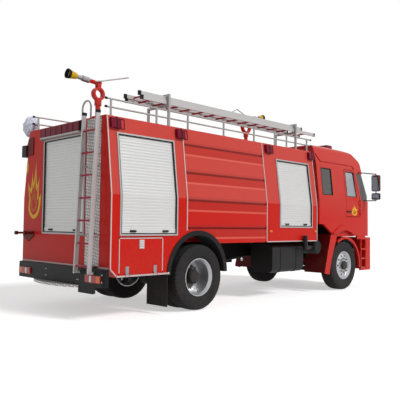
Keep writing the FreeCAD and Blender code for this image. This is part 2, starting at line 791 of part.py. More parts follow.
def knuckle():
    """Left steering knuckle: a yoke about the kingpin with the wheel spindle."""
    half = KINGPIN_BOSS_H / 2.0 + YOKE_GAP
    web_in = KINGPIN_Y + YOKE_WEB_IN
    web_out = web_in + YOKE_WEB
    pieces = [box(FRONT_X - YOKE_HALF_X, FRONT_X + YOKE_HALF_X, web_in, web_out,
                  AXLE_Z - half - YOKE_ARM, AXLE_Z + half + YOKE_ARM)]
    for z in (AXLE_Z - half - YOKE_ARM, AXLE_Z + half):
        pieces.append(rod((FRONT_X, KINGPIN_Y, z), (FRONT_X, KINGPIN_Y, z + YOKE_ARM), KINGPIN_BOSS_R))
        pieces.append(box(FRONT_X - KINGPIN_BOSS_R, FRONT_X + KINGPIN_BOSS_R, KINGPIN_Y, web_in, z,
                          z + YOKE_ARM))
    pieces.append(rod((FRONT_X, web_in, AXLE_Z), (FRONT_X, FRONT_SPINDLE_END, AXLE_Z), FRONT_SPINDLE_R))
    low_z = AXLE_Z - half - YOKE_ARM
    a, b = STEER_ARM_Y
    pieces.append(box(FRONT_X - STEER_ARM_L, FRONT_X, KINGPIN_Y + a, KINGPIN_Y + b, low_z,
                      low_z + STEER_ARM_T))
    bore = rod((FRONT_X, KINGPIN_Y, 0), (FRONT_X, KINGPIN_Y, 2 * AXLE_Z), KINGPIN_R + RUN_FIT)
    return fused(pieces).cut(bore)


def rear_axle():
    """Drive axle housing with its differential bulge and wheel spindles."""
    step = REAR_HUB_BACK - REAR_AXLE_STEP
    points = [(0, -REAR_SPINDLE_END, 0), (REAR_SPINDLE_R, -REAR_SPINDLE_END, 0),
              (REAR_SPINDLE_R, -step, 0), (REAR_AXLE_R, -step, 0),
              (REAR_AXLE_R, -DIFF_HALF - DIFF_TAPER, DIFF_ROUND), (DIFF_R, -DIFF_HALF + DIFF_ROUND,
                                                                   DIFF_ROUND)]
    outline = points + [(r, -y, c) for r, y, c in reversed(points)]
    housing = turned(outline, 0, AXLE_Z)
    nose = Part.makeCone(DIFF_NOSE_ROOT, DIFF_NOSE_R, DIFF_NOSE_X, Vector(0, 0, AXLE_Z), Vector(1, 0, 0))
    return fused([housing, nose])


def leaf_pack(x, pad_z, mid_z):
    """Left leaf spring from eye to eye, with its flat pad on the axle."""
    y0 = RAIL_OUT - RAIL_FLANGE
    y1 = y0 + SPRING_W
    t = SPRING_T / 2.0

    def bow(rise):
        return Part.Arc(Vector(x - SPRING_HALF, y0, SPRING_EYE_Z + rise), Vector(x, y0,
                                                                                 mid_z + rise * SPRING_TAPER),
                        Vector(x + SPRING_HALF, y0, SPRING_EYE_Z + rise)).toShape()

    low, high = bow(-t), bow(t)
    ends = [Part.LineSegment(low.Vertexes[i].Point, high.Vertexes[i].Point).toShape() for i in (0, 1)]
    leaves = Part.Face(Part.Wire([low, ends[1], high, ends[0]])).extrude(Vector(0, SPRING_W, 0))
    pieces = [leaves, box(x - SPRING_PAD, x + SPRING_PAD, y0, y1, pad_z, mid_z + t)]
    for end in (-SPRING_HALF, SPRING_HALF):
        pieces.append(rod((x + end, y0, SPRING_EYE_Z), (x + end, y1, SPRING_EYE_Z), SPRING_EYE_R))
    return fused(pieces)


def leaf_springs():
    front_pad = AXLE_BEAM_Z + AXLE_BEAM_H
    rear_pad = AXLE_Z + REAR_AXLE_R + SEAT_GAP
    front = leaf_pack(FRONT_X, front_pad, front_pad + SPRING_T * SPRING_BED)
    rear = leaf_pack(0, rear_pad, rear_pad + SPRING_T * SPRING_BED)
    return together(both(front) + both(rear))


# Chassis

def chassis_rail():
    """Left channel rail, open towards the middle."""
    inner = RAIL_OUT - RAIL_FLANGE
    web = RAIL_OUT - RAIL_WALL
    points = [(RAIL_OUT, RAIL_BOTTOM, 0), (RAIL_OUT, RAIL_TOP, 0), (inner, RAIL_TOP, 0),
              (inner, RAIL_TOP - RAIL_WALL, 0), (web, RAIL_TOP - RAIL_WALL, 0),
              (web, RAIL_BOTTOM + RAIL_WALL, 0), (inner, RAIL_BOTTOM + RAIL_WALL, 0), (inner, RAIL_BOTTOM, 0)]
    return cross_plate(points, RAIL_BACK, RAIL_FRONT)


def tilt_bracket():
    """Left cab pivot: two ears and the pin between them, on the front of the rail."""
    back, front = RAIL_FRONT - TILT_FOOT, NOSE_X - FRONT_BUMPER_WALL
    y0 = TILT_LUG_Y[0] - TILT_EAR_GAP - TILT_EAR
    y1 = TILT_LUG_Y[1] + TILT_EAR_GAP + TILT_EAR
    base_top = TILT_Z - TILT_BASE_DROP
    pieces = [box(back, front, RAIL_OUT - RAIL_FLANGE, y1, RAIL_BOTTOM + TILT_BASE_LIFT, base_top)]
    for low in (y0, y1 - TILT_EAR):
        pieces.append(box(TILT_X - TILT_EYE_R, TILT_X + TILT_EYE_R, low, low + TILT_EAR, base_top, TILT_Z))
        pieces.append(rod((TILT_X, low, TILT_Z), (TILT_X, low + TILT_EAR, TILT_Z), TILT_EYE_R))
    pieces.append(rod((TILT_X, y0, TILT_Z), (TILT_X, y1, TILT_Z), TILT_PIN_R))
    pieces.append(rod((back, TOW_Y, TOW_Z), (NOSE_X + TOW_PROUD, TOW_Y, TOW_Z), TOW_R))
    return pieces


def chassis_frame():
    """Two channel rails with cross tubes, body bearers and the brackets that carry the rest."""
    web = RAIL_OUT - RAIL_WALL
    pieces = both(chassis_rail())
    for x in CROSS_X:
        pieces.append(rod((x, -web, CROSS_Z), (x, web, CROSS_Z), CROSS_R))
    for places, half in ((REAR_BEARERS, REAR_BEARER_HALF), (MAIN_BEARERS, MAIN_BEARER_HALF)):
        for x in places:
            pieces.append(box(x, x + BEARER_W, -half, half, RAIL_TOP, SKIRT_Z))
    inner = RAIL_OUT - RAIL_FLANGE
    left = []
    for axle in (0, FRONT_X):
        for end in (-SPRING_HALF, SPRING_HALF):
            x = axle + end
            eye_top = SPRING_EYE_Z + SPRING_EYE_R + SEAT_GAP
            left.append(box(x - SPRING_EYE_R, x + SPRING_EYE_R, inner, RAIL_OUT, eye_top, RAIL_BOTTOM))
    hang_x, hang_y, hang_z = RAIL_BACK + HANGER_REACH, web - HANGER_T, BUMPER_BOTTOM + HANGER_LIFT
    left.append(box(BUMPER_BACK + BUMPER_WALL, hang_x, hang_y, RAIL_OUT, hang_z, BUMPER_TOP - BUMPER_WALL))
    left.append(box(BODY_BACK + WALL + HANGER_GAP, hang_x, hang_y, RAIL_OUT, hang_z, RAIL_TOP))
    rest = CAB_FLOOR - FLOOR_T - SEAT_GAP
    left.append(box(CAB_BACK + REST_X[0], CAB_BACK + REST_X[1], inner, RAIL_OUT, RAIL_TOP, rest))
    for x in STRAP_X:
        left.append(box(x, x + STRAP_W, RAIL_OUT, FUEL_IN, RAIL_BOTTOM, RAIL_TOP - BRACKET_DROP))
    stay_x = guard_x(GUARD_STAY_Z) + GUARD_SKIN / 2.0
    left.append(rod((stay_x, web, GUARD_STAY_Z), (stay_x, GUARD_IN, GUARD_STAY_Z), GUARD_STAY_R))
    left += tilt_bracket()
    for piece in left:
        pieces += both(piece)
    a, b = CLEANER_FOOT_Z
    pieces.append(box(CLEANER_X - CLEANER_FOOT, CLEANER_X + CLEANER_FOOT, -CLEANER_IN, -RAIL_OUT,
                      CLEANER_Z + a, CLEANER_Z + b))
    socket = rod((NOSE_X + TOW_PROUD - TOW_BORE_L, TOW_Y, TOW_Z), (NOSE_X + OVER, TOW_Y, TOW_Z), TOW_BORE_R)
    return fused(pieces).cut(both(socket))


def driveline():
    """Plain block for the engine, with gearbox, radiator and propeller shaft."""
    x0, x1 = ENGINE_X
    pieces = [box(x0, x1, -ENGINE_HALF, ENGINE_HALF, ENGINE_Z[0], ENGINE_Z[1])]
    pieces.append(box(x1, x1 + RADIATOR_T, -ENGINE_HALF, ENGINE_HALF, ENGINE_Z[0],
                      ENGINE_Z[1] - RADIATOR_DROP))
    pieces.append(Part.makeCone(*GEARBOX_R, x0 - GEARBOX_BACK, Vector(GEARBOX_BACK, 0, GEARBOX_Z), Vector(1,
                                                                                                          0,
                                                                                                          0)))
    stub = DIFF_NOSE_X + STUB_L
    pieces.append(rod((DIFF_NOSE_X, 0, AXLE_Z), (stub, 0, AXLE_Z), STUB_R))
    pieces.append(rod((stub - OVER, 0, AXLE_Z), (GEARBOX_BACK + OVER, 0, GEARBOX_Z), SHAFT_R))
    for foot in ENGINE_FEET:
        x = x0 + foot
        pieces.append(box(x, x + ENGINE_FOOT_W, -RAIL_OUT, RAIL_OUT, RAIL_TOP, RAIL_TOP + ENGINE_FOOT))
    return fused(pieces)


# Tanks and boxes on the rails

def fuel_tank():
    """Rounded tank on the right rail with two straps."""
    def section(grow):
        z0, z1, r = FUEL_BOTTOM - grow, FUEL_TOP + grow, FUEL_CORNER + grow
        return [(-FUEL_IN, z0, 0), (-FUEL_OUT - grow, z0, r), (-FUEL_OUT - grow, z1, r), (-FUEL_IN, z1, 0)]
    pieces = [cross_plate(section(0), FUEL_BACK, FUEL_FRONT)]
    for x in STRAP_X:
        pieces.append(cross_plate(section(STRAP_T), x, x + STRAP_W))
    return fused(pieces)


def battery_box():
    """Covered battery box on the left rail."""
    points = [(FUEL_IN, BATTERY_BOTTOM, 0), (BATTERY_OUT, BATTERY_BOTTOM, 20),
              (BATTERY_OUT, RAIL_TOP - BRACKET_DROP, 20), (FUEL_IN, RAIL_TOP - BRACKET_DROP, 0)]
    return cross_plate(points, BATTERY_BACK, BATTERY_FRONT)


def air_cleaner():
    """Round air cleaner behind the cab, with an intake pipe that rises just outside the body's skirt."""
    y, x, z = -CLEANER_OUT, CLEANER_X, CLEANER_Z
    drum = rod((x, -CLEANER_IN, z), (x, y, z), CLEANER_R)
    cap = rod((x, y + 1, z), (x, y - CLEANER_CAP, z), CLEANER_R - 2 * CLEANER_CAP)
    neck_y = y + INTAKE_R + CLEANER_CAP
    clear_y = y - INTAKE_R - 2 * CLEANER_CAP
    path = [(x - CLEANER_R + CLEANER_CAP, neck_y, z), (BODY_FRONT - 3 * INTAKE_R, neck_y, z),
            (FUEL_FRONT + 2 * INTAKE_R, clear_y, z), (INTAKE_X, -INTAKE_Y, z), (INTAKE_X, -INTAKE_Y,
                                                                                INTAKE_TOP)]
    return fused([drum, cap] + bent_rod(path, INTAKE_R))


# Body modules

def body_half_at(z):
    """Half width of the body skin at a height."""
    if z <= KNEE_Z:
        return BODY_HALF
    return BODY_HALF - LEAN_IN * (z - KNEE_Z) / (ROOF_Z - KNEE_Z)


def body_section(bottom, inset):
    """Cross section of the body, drawn in by an even margin."""
    return symmetric([(BODY_HALF - inset, bottom, 0), (BODY_HALF - inset, KNEE_Z, 0),
                      (ROOF_HALF - inset, ROOF_Z - inset, ROOF_EDGE_R)])


def wheel_wells():
    """Space over the rear wheels, on both sides."""
    out = ARCH_BAND_OUT + OVER
    well = rod((ARCH_X, WELL_IN, ARCH_Z), (ARCH_X, out, ARCH_Z), ARCH_R)
    below = box(ARCH_X - ARCH_R, ARCH_X + ARCH_R, WELL_IN, out, 0, ARCH_Z)
    return both(well.fuse(below))


def flap_hinge_spots():
    """X ranges of the two hinge barrels of a locker flap."""
    first = FLAP_BACK + FLAP_HINGE_INSET
    second = FLAP_FRONT - FLAP_HINGE_INSET - FLAP_BARREL
    return [(x, x + FLAP_BARREL) for x in (first, second)]


FLAP_AXIS_Y = BODY_HALF + FLAP_HINGE_OUT
FLAP_AXIS_Z = FLAP_BOTTOM + FLAP_HINGE_UP


def flap_hinge_lugs():
    """Left hinge lugs and pins that stand on the sill below the flap."""
    foot = REAR_SKIRT_Z + HINGE_LUG / 2.0
    pieces = []
    for x0, x1 in flap_hinge_spots():
        for a in (x0 - HINGE_LUG - HINGE_END_GAP, x1 + HINGE_END_GAP):
            pieces.append(box(a, a + HINGE_LUG, BODY_HALF - HINGE_LUG, FLAP_AXIS_Y, foot, FLAP_AXIS_Z))
            pieces.append(box(a, a + HINGE_LUG, BODY_HALF, FLAP_AXIS_Y + FLAP_BARREL_R,
                              foot, FLAP_AXIS_Z + FLAP_PIN_R))
        pieces.append(rod((x0 - HINGE_LUG, FLAP_AXIS_Y, FLAP_AXIS_Z), (x1 + HINGE_LUG, FLAP_AXIS_Y,
                                                                       FLAP_AXIS_Z),
                          FLAP_PIN_R))
    return pieces


def side_openings(opening):
    """Cutters for a shutter opening through both leaning side walls."""
    x0, x1, z0, z1 = opening
    deep = body_half_at(z1) - 2 * WALL
    return both(box(x0, x1, deep, BODY_HALF + OVER, z0, z1))


def rear_module():
    """Hollow rear body with three shutter openings and a locker behind each flap."""
    shell = cross_plate(body_section(REAR_SKIRT_Z, 0), BODY_BACK, TANK_BACK)
    chamfer = side_plate([(BODY_BACK - OVER, REAR_SKIRT_Z - OVER, 0), (TAIL_CHAMFER_X, REAR_SKIRT_Z - OVER,
                                                                       0),
                          (TAIL_CHAMFER_X, REAR_SKIRT_Z, 0), (BODY_BACK, TAIL_CHAMFER_Z, 0),
                          (BODY_BACK - OVER, TAIL_CHAMFER_Z, 0)], -BODY_HALF - OVER, BODY_HALF + OVER)
    middle = box(BODY_BACK + WALL, TANK_BACK, -LOCKER_INNER, LOCKER_INNER, 0, SKIRT_Z)
    below = box(BODY_BACK - OVER, BODY_BACK + WALL, -LOCKER_INNER, LOCKER_INNER, 0, TAIL_PANEL_Z)
    hold = cross_plate(body_section(LOCKER_DECK_Z, WALL), BODY_BACK + WALL, TANK_BACK - WALL)
    y0, y1, z0, z1 = TAIL_SHUTTER
    tail = box(BODY_BACK - OVER, BODY_BACK + WALL + OVER, y0, y1, z0, z1)
    rebate = box(FLAP_BACK - MOVE_GAP, FLAP_FRONT + MOVE_GAP, BODY_HALF - FLAP_REBATE, BODY_HALF + OVER,
                 FLAP_BOTTOM - MOVE_GAP, FLAP_TOP + MOVE_GAP)
    locker = box(FLAP_BACK + FLAP_LIP, FLAP_FRONT - FLAP_LIP, LOCKER_INNER + WALL, BODY_HALF,
                 FLAP_BOTTOM + FLAP_LIP, FLAP_TOP - FLAP_LIP)
    cuts = [chamfer, middle, below, hold, tail] + wheel_wells()
    cuts += side_openings(REAR_SIDE_SHUTTER) + both(rebate) + both(locker)
    shell = shell.cut(cuts)
    lugs = []
    for piece in flap_hinge_lugs():
        lugs += both(piece)
    return fused([shell] + lugs)


def tank_module():
    """Water tank body with four stepped, bulged panels down each side."""
    half = [(BODY_HALF - TANK_TUCK, SKIRT_Z, 0)]
    for z in sorted(GROOVES_Z):
        half.append((body_half_at(z), z, 0))
        half.append((body_half_at(z) - GROOVE_DEPTH, z + GROOVE_STEP, 0))
        half.append((body_half_at(z + GROOVE_RISE), z + GROOVE_RISE, 0))
    half.append((ROOF_HALF, ROOF_Z, ROOF_EDGE_R))
    body = cross_plate(symmetric(half), TANK_BACK, TANK_FRONT)
    return body.cut(wheel_wells())


def front_module():
    """Hollow front body with a shutter opening on each side."""
    shell = cross_plate(body_section(SKIRT_Z, 0), TANK_FRONT, BODY_FRONT)
    hold = cross_plate(body_section(SKIRT_Z + WALL, WALL), TANK_FRONT + WALL, BODY_FRONT - WALL)
    return shell.cut([hold] + side_openings(FRONT_SIDE_SHUTTER))


def slatted_line(z0, z1, joints, face):
    """Outer line of a shutter from its bottom rail up, with a V groove at each joint between slats."""
    line = [(face(z0) + SHUTTER_RAIL_T, z0), (face(z0) + SHUTTER_RAIL_T, z0 + SHUTTER_RAIL_H),
            (face(z0), z0 + SHUTTER_RAIL_H)]
    for z in joints:
        if z > z0 + SHUTTER_RAIL_H + 2 * SLAT_GROOVE:
            line += [(face(z - SLAT_GROOVE), z - SLAT_GROOVE), (face(z) - SLAT_GROOVE, z),
                     (face(z + SLAT_GROOVE), z + SLAT_GROOVE)]
    return line + [(face(z1), z1)]


def slat_joints(z0, z1):
    """Heights of the joints that part a stretch of shutter into even slats."""
    count = round((z1 - z0) / SLAT_PITCH)
    return [z0 + (z1 - z0) * i / count for i in range(1, count)]


def latch(along, face, z):
    """Low and high ends of a lift latch on a shutter's bottom rail: along it, out from it and up."""
    out = face + SHUTTER_RAIL_T
    return along, along + LATCH_L, out, out + LATCH_T, z, z + LATCH_H


def side_shutter(opening):
    """Left roller shutter, bent at the body's knee, with slats, a bottom rail and two latches."""
    x0, x1, z0, z1 = opening

    def face(z):
        return body_half_at(z) - SHUTTER_INSET

    joints = slat_joints(z0, KNEE_Z) + [KNEE_Z] + slat_joints(KNEE_Z, z1)
    inner = [(face(z) - SHUTTER_T, z, 0) for z in (z1, KNEE_Z, z0)]
    pieces = [cross_plate([(y, z, 0) for y, z in slatted_line(z0, z1, joints, face)] + inner, x0, x1)]
    for x in (x0 + LATCH_INSET, x1 - LATCH_INSET - LATCH_L):
        a, b, y0, y1, low, high = latch(x, face(z0), z0 + SHUTTER_RAIL_H / 4.0)
        pieces.append(plan_plate([(a, y0, 0), (b, y0, 0), (b, y1, LATCH_CORNER), (a, y1, LATCH_CORNER)],
                                 low, high))
    return fused(pieces)


def tail_shutter():
    """Flat roller shutter of the tail, built like those of the sides."""
    y0, y1, z0, z1 = TAIL_SHUTTER
    depth = -BODY_BACK - SHUTTER_INSET
    line = slatted_line(z0, z1, slat_joints(z0, z1), lambda z: depth)
    inner = [(depth - SHUTTER_T, z1), (depth - SHUTTER_T, z0)]
    pieces = [side_plate([(-u, z, 0) for u, z in line + inner], y0, y1)]
    for y in (y0 + LATCH_INSET, y1 - LATCH_INSET - LATCH_L):
        a, b, u0, u1, low, high = latch(y, depth, z0 + SHUTTER_RAIL_H / 4.0)
        pieces.append(plan_plate([(-u0, a, 0), (-u0, b, 0), (-u1, b, LATCH_CORNER), (-u1, a, LATCH_CORNER)],
                                 low, high))
    return fused(pieces)


def roller_shutters():
    """Closed slatted shutters, two on each side and one at the tail."""
    sides = both(side_shutter(REAR_SIDE_SHUTTER)) + both(side_shutter(FRONT_SIDE_SHUTTER))
    return together(sides + [tail_shutter()])


def flap_latch():
    """Louvred latch plate in the middle of a flap's upper edge."""
    width, thick, height = FLAP_LATCH
    middle = (FLAP_BACK + FLAP_FRONT) / 2.0
    x0, x1 = middle - width / 2.0, middle + width / 2.0
    top = FLAP_TOP - FLAP_LATCH_DROP
    out = BODY_HALF + thick
    pieces = [box(x0, x1, BODY_HALF, out, top - height, top)]
    pitch = height / FLAP_LOUVRES
    for i in range(FLAP_LOUVRES):
        z = top - height + (i + 0.2) * pitch
        slope = [(out - 1, z, 0), (out + FLAP_LOUVRE, z, 0), (out - 1, z + pitch / 2.0, 0)]
        pieces.append(cross_plate(slope, x0 + FLAP_LOUVRE, x1 - FLAP_LOUVRE))
    return pieces


def locker_flap():
    """Left locker flap, hinged along its lower edge."""
    pieces = [box(FLAP_BACK, FLAP_FRONT, BODY_HALF - FLAP_T, BODY_HALF, FLAP_BOTTOM, FLAP_TOP)] + flap_latch()
    for x0, x1 in flap_hinge_spots():
        pieces.append(rod((x0, FLAP_AXIS_Y, FLAP_AXIS_Z), (x1, FLAP_AXIS_Y, FLAP_AXIS_Z), FLAP_BARREL_R))
        pieces.append(box(x0, x1, BODY_HALF - 2, BODY_HALF + FLAP_LEAF_T, FLAP_AXIS_Z,
                          FLAP_AXIS_Z + FLAP_LEAF_H))
    flap = fused(pieces)
    notches = []
    for x0, x1 in flap_hinge_spots():
        for a in (x0 - HINGE_LUG - MOVE_GAP, x1):
            notches.append(box(a, a + HINGE_LUG + MOVE_GAP, BODY_HALF - FLAP_T, BODY_HALF + OVER,
                               FLAP_BOTTOM, FLAP_AXIS_Z + OVER))
        notches.append(rod((x0, FLAP_AXIS_Y, FLAP_AXIS_Z), (x1, FLAP_AXIS_Y, FLAP_AXIS_Z),
                           FLAP_PIN_R + RUN_FIT))
    return flap.cut(notches)


def rear_mudguards():
    """Rubber bands round the rear arches and the flap behind each wheel."""
    outer = ARCH_R - SEAT_GAP
    ring = rod((ARCH_X, ARCH_BAND_IN, ARCH_Z), (ARCH_X, ARCH_BAND_OUT, ARCH_Z), outer)
    bore = rod((ARCH_X, 0, ARCH_Z), (ARCH_X, 2 * BODY_HALF, ARCH_Z), ARCH_R - ARCH_BAND)
    upper = box(ARCH_X - ARCH_R, ARCH_X + ARCH_R, ARCH_BAND_IN, ARCH_BAND_OUT, ARCH_END_Z, ARCH_Z + ARCH_R)
    band = ring.cut(bore).common(upper)
    x = ARCH_X - ARCH_R + ARCH_BAND / 2.0
    flap = box(x, x + MUD_FLAP_T, MUD_FLAP_IN, MUD_FLAP_OUT, MUD_FLAP_Z, ARCH_END_Z)
    return together(both(fused([band, flap])))


# Tail

def rear_bumper():
    """Channel bumper with rounded corners, ladder lugs and the curved step plate below."""
    r = BUMPER_CORNER
    block = plan_plate([(BUMPER_BACK, -BUMPER_HALF, r), (BUMPER_IN, -BUMPER_HALF, 0),
                        (BUMPER_IN, BUMPER_HALF, 0), (BUMPER_BACK, BUMPER_HALF, r)], BUMPER_BOTTOM,
                        BUMPER_TOP)
    w = BUMPER_WALL
    hollow = plan_plate([(BUMPER_BACK + w, -BUMPER_HALF + w, r - w), (BUMPER_IN + w, -BUMPER_HALF + w, 0),
                         (BUMPER_IN + w, BUMPER_HALF - w, 0), (BUMPER_BACK + w, BUMPER_HALF - w, r - w)],
                        BUMPER_BOTTOM + w, BUMPER_TOP - w)
    channel = block.cut(hollow)
    step_z = BUMPER_BOTTOM
    middle = (STEP_LEFT + STEP_RIGHT) / 2.0
    edge = Part.Arc(Vector(BUMPER_BACK, STEP_LEFT, step_z), Vector(BUMPER_BACK - STEP_REACH, middle, step_z),
                    Vector(BUMPER_BACK, STEP_RIGHT, step_z)).toShape()
    back = Part.makePolygon([Vector(BUMPER_BACK, STEP_RIGHT, step_z), Vector(BUMPER_IN, STEP_RIGHT, step_z),
                             Vector(BUMPER_IN, STEP_LEFT, step_z), Vector(BUMPER_BACK, STEP_LEFT, step_z)])
    step = Part.Face(Part.Wire([edge] + back.Edges)).extrude(Vector(0, 0, -STEP_T))
    lugs = []
    for y in (LADDER_LEFT, LADDER_RIGHT):
        lugs.append(box(LADDER_FOOT_X - LADDER_STILE_X / 2.0, BUMPER_BACK + 2, y - LADDER_STILE_Y / 2.0,
                        y + LADDER_STILE_Y / 2.0, LADDER_FOOT_Z - LADDER_FOOT_LUG, LADDER_FOOT_Z))
    a, b = TAIL_BOX_X
    guard = box(BUMPER_BACK + a, BUMPER_BACK + b, TAIL_BOX_Y[0], TAIL_BOX_Y[1],
                BUMPER_BOTTOM - TAIL_BOX_H, BUMPER_BOTTOM)
    return fused([channel, step, guard] + lugs)


def tail_lamps():
    """Lamp bar set on each end of the rear bumper."""
    lamp = box(BUMPER_BACK - TAIL_LAMP_T, BUMPER_BACK, TAIL_LAMP_IN, TAIL_LAMP_OUT, TAIL_LAMP_Z,
               TAIL_LAMP_Z + TAIL_LAMP_H)
    return together(both(lamp))


def gutter():
    """Rain gutter under the tail lamp row, between two triangular brackets."""
    y0, y1 = GUTTER_Y
    out = BODY_BACK - GUTTER_REACH
    top = GUTTER_Z + GUTTER_H
    t = GUTTER_T
    channel = side_plate([(BODY_BACK, GUTTER_Z, 0), (out, GUTTER_Z, t), (out, top, 0), (out + t, top, 0),
                          (out + t, GUTTER_Z + t, 0), (BODY_BACK, GUTTER_Z + t, 0)], y0, y1)
    front = out + t / 2.0
    gusset = [(BODY_BACK, top, 0), (front, top, 0), (front, GUTTER_Z, 0), (BODY_BACK, top - GUTTER_GUSSET, 0)]
    ends = [side_plate(gusset, y, y + GUTTER_PLATE) for y in (y0, y1 - GUTTER_PLATE)]
    return fused([channel] + ends)


def hose_hook():
    """Plate at the left of the tail with two arms that end in rubber buffers."""
    y0, y1 = HOOK_Y
    z0, z1 = HOOK_Z
    back = BODY_BACK - HOOK_PLATE
    waist = (z0 + z1) / 2.0
    middle = (y0 + y1) / 2.0
    outline = [(y0, z1, 8), (y1, z1, 8), (y1, waist, 8), (middle, z0, 20), (y0, waist, 8)]
    pieces = [cross_plate(outline, back, BODY_BACK)]
    for y in (y0 + HOOK_BUFFER_R, y1 - HOOK_BUFFER_R):
        z = z1 - HOOK_BUFFER_R
        pieces.append(rod((back + 2, y, z), (BODY_BACK - HOOK_REACH, y, z), HOOK_ARM_R))
        pieces.append(rod((BODY_BACK - HOOK_REACH, y, z), (BODY_BACK - HOOK_REACH - HOOK_BUFFER_L, y, z),
                          HOOK_BUFFER_R))
    return fused(pieces)


def work_lamp():
    """Dark work lamp beside the leaning left edge of the tail, on a plate."""
    y0, y1 = WORK_LAMP_Y
    z0, z1 = WORK_LAMP_Z
    r = WORK_LAMP_CORNER
    back = BODY_BACK - HOOK_PLATE
    housing = cross_plate([(y0, z0, r), (y1, z0, r), (y1, z1, r), (y0, z1, r)],
                          back - OVER, back - OVER + WORK_LAMP_L)
    edge = body_half_at(WORK_LAMP_PLATE_Z)
    plate = cross_plate([(WORK_LAMP_PLATE_Y, z0 + r, 8), (y0 + r, z0 + r, 0), (y0 + r, z1 - r, 0),
                         (edge, WORK_LAMP_PLATE_Z, 8), (WORK_LAMP_PLATE_Y, WORK_LAMP_PLATE_Z, 8)], back,
                         BODY_BACK)
    return fused([housing, plate])


def ladder_knob(z):
    """Lobed clamp knob on a short post behind the rear ladder."""
    back = BODY_BACK - KNOB_STAND
    disc = rod((back, KNOB_Y, z), (back - KNOB_T, KNOB_Y, z), KNOB_R)
    notches = []
    for i in range(KNOB_LOBES):
        angle = 2 * math.pi * i / KNOB_LOBES
        y, h = KNOB_Y + (KNOB_R + 3) * math.cos(angle), z + (KNOB_R + 3) * math.sin(angle)
        notches.append(rod((back + 1, y, h), (back - KNOB_T - 1, y, h), KNOB_LOBE_R))
    return fused([disc.cut(notches), rod((BODY_BACK, KNOB_Y, z), (back - 1, KNOB_Y, z), LADDER_STAY_R)])


def tail_fittings():
    """Small things fixed to the tail panel: gutter, hose hook, work lamp and ladder knobs."""
    return together([gutter(), hose_hook(), work_lamp()] + [ladder_knob(z) for z in LADDER_STAY_Z])


def ladder_x(z):
    """Middle of the leaning rear ladder at a height."""
    share = (z - LADDER_FOOT_Z) / (LADDER_TOP_Z - LADDER_FOOT_Z)
    return LADDER_FOOT_X + (LADDER_TOP_X - LADDER_FOOT_X) * share


def rear_ladder():
    """Leaning aluminium ladder with round rungs, capped stiles and stays to the tail panel."""
    half = LADDER_STILE_X / 2.0
    pieces = []
    for y in (LADDER_LEFT, LADDER_RIGHT):
        y0, y1 = y - LADDER_STILE_Y / 2.0, y + LADDER_STILE_Y / 2.0
        outline = [(LADDER_FOOT_X - half, LADDER_FOOT_Z, 0), (LADDER_FOOT_X + half, LADDER_FOOT_Z, 0),
                   (LADDER_TOP_X + half, LADDER_TOP_Z, 0), (LADDER_TOP_X - half, LADDER_TOP_Z, 0)]
        pieces.append(side_plate(outline, y0, y1))
        t = LADDER_CAP_T
        pieces.append(box(LADDER_TOP_X - half - t, LADDER_TOP_X + half + t, y0 - t, y1 + t,
                          LADDER_TOP_Z - LADDER_CAP, LADDER_TOP_Z + t))
        for z in LADDER_STAY_Z:
            pieces.append(rod((ladder_x(z), y, z), (BODY_BACK, y, z), LADDER_STAY_R))
    for i in range(LADDER_RUNGS):
        z = LADDER_RUNG_Z + i * LADDER_PITCH
        x = ladder_x(z)
        pieces.append(rod((x, LADDER_RIGHT, z), (x, LADDER_LEFT, z), LADDER_RUNG_R))
    return fused(pieces)


def side_lamp(x):
    """Left warning lamp on the sloping skin just under the roof."""
    z0, z1 = SIDE_LAMP_Z, SIDE_LAMP_Z + SIDE_LAMP_H
    points = [(body_half_at(z0), z0, 0), (body_half_at(z0) + SIDE_LAMP_T, z0, 10),
              (body_half_at(z1) + SIDE_LAMP_T, z1, 10), (body_half_at(z1), z1, 0)]
    return cross_plate(points, x - SIDE_LAMP_L / 2.0, x + SIDE_LAMP_L / 2.0)


def warning_lamps():
    """Side warning lamps, the row over the tail shutter and the amber side markers."""
    lamps = []
    for x in SIDE_LAMPS_X:
        lamps += both(side_lamp(x))
    pitch = (TAIL_ROW_TO - TAIL_ROW_FROM) / TAIL_ROW_LAMPS
    for i in range(TAIL_ROW_LAMPS):
        y = TAIL_ROW_FROM + i * pitch
        lamps.append(box(BODY_BACK - TAIL_ROW_T, BODY_BACK, y, y + pitch - TAIL_ROW_GAP,
                         TAIL_ROW_Z, TAIL_ROW_Z + TAIL_ROW_H))
    for x in MARKERS_X:
        lamps += both(box(x, x + MARKER_L, BODY_HALF, BODY_HALF + MARKER_T, MARKER_Z, MARKER_Z + MARKER_H))
    return together(lamps)


# Roof

def railing(side):
    """Two-rail railing along one side of the roof, with footed posts and capped ends."""
    y = side * RAILING_Y
    pieces = []
    for x in RAILING_POSTS:
        pieces.append(rod((x, y, ROOF_Z), (x, y, RAILING_TOP_Z), RAILING_POST_R))
        pieces.append(rod((x, y, ROOF_Z), (x, y, ROOF_Z + RAILING_FOOT_T), RAILING_FOOT_R))
    for z in (RAILING_LOW_Z, RAILING_TOP_Z):
        pieces.append(rod((RAILING_BACK, y, z), (RAILING_FRONT, y, z), RAILING_RAIL_R))
        for end, way in ((RAILING_BACK, 1), (RAILING_FRONT, -1)):
            pieces.append(rod((end, y, z), (end + way * RAILING_CAP_L, y, z), RAILING_CAP_R))
    return pieces


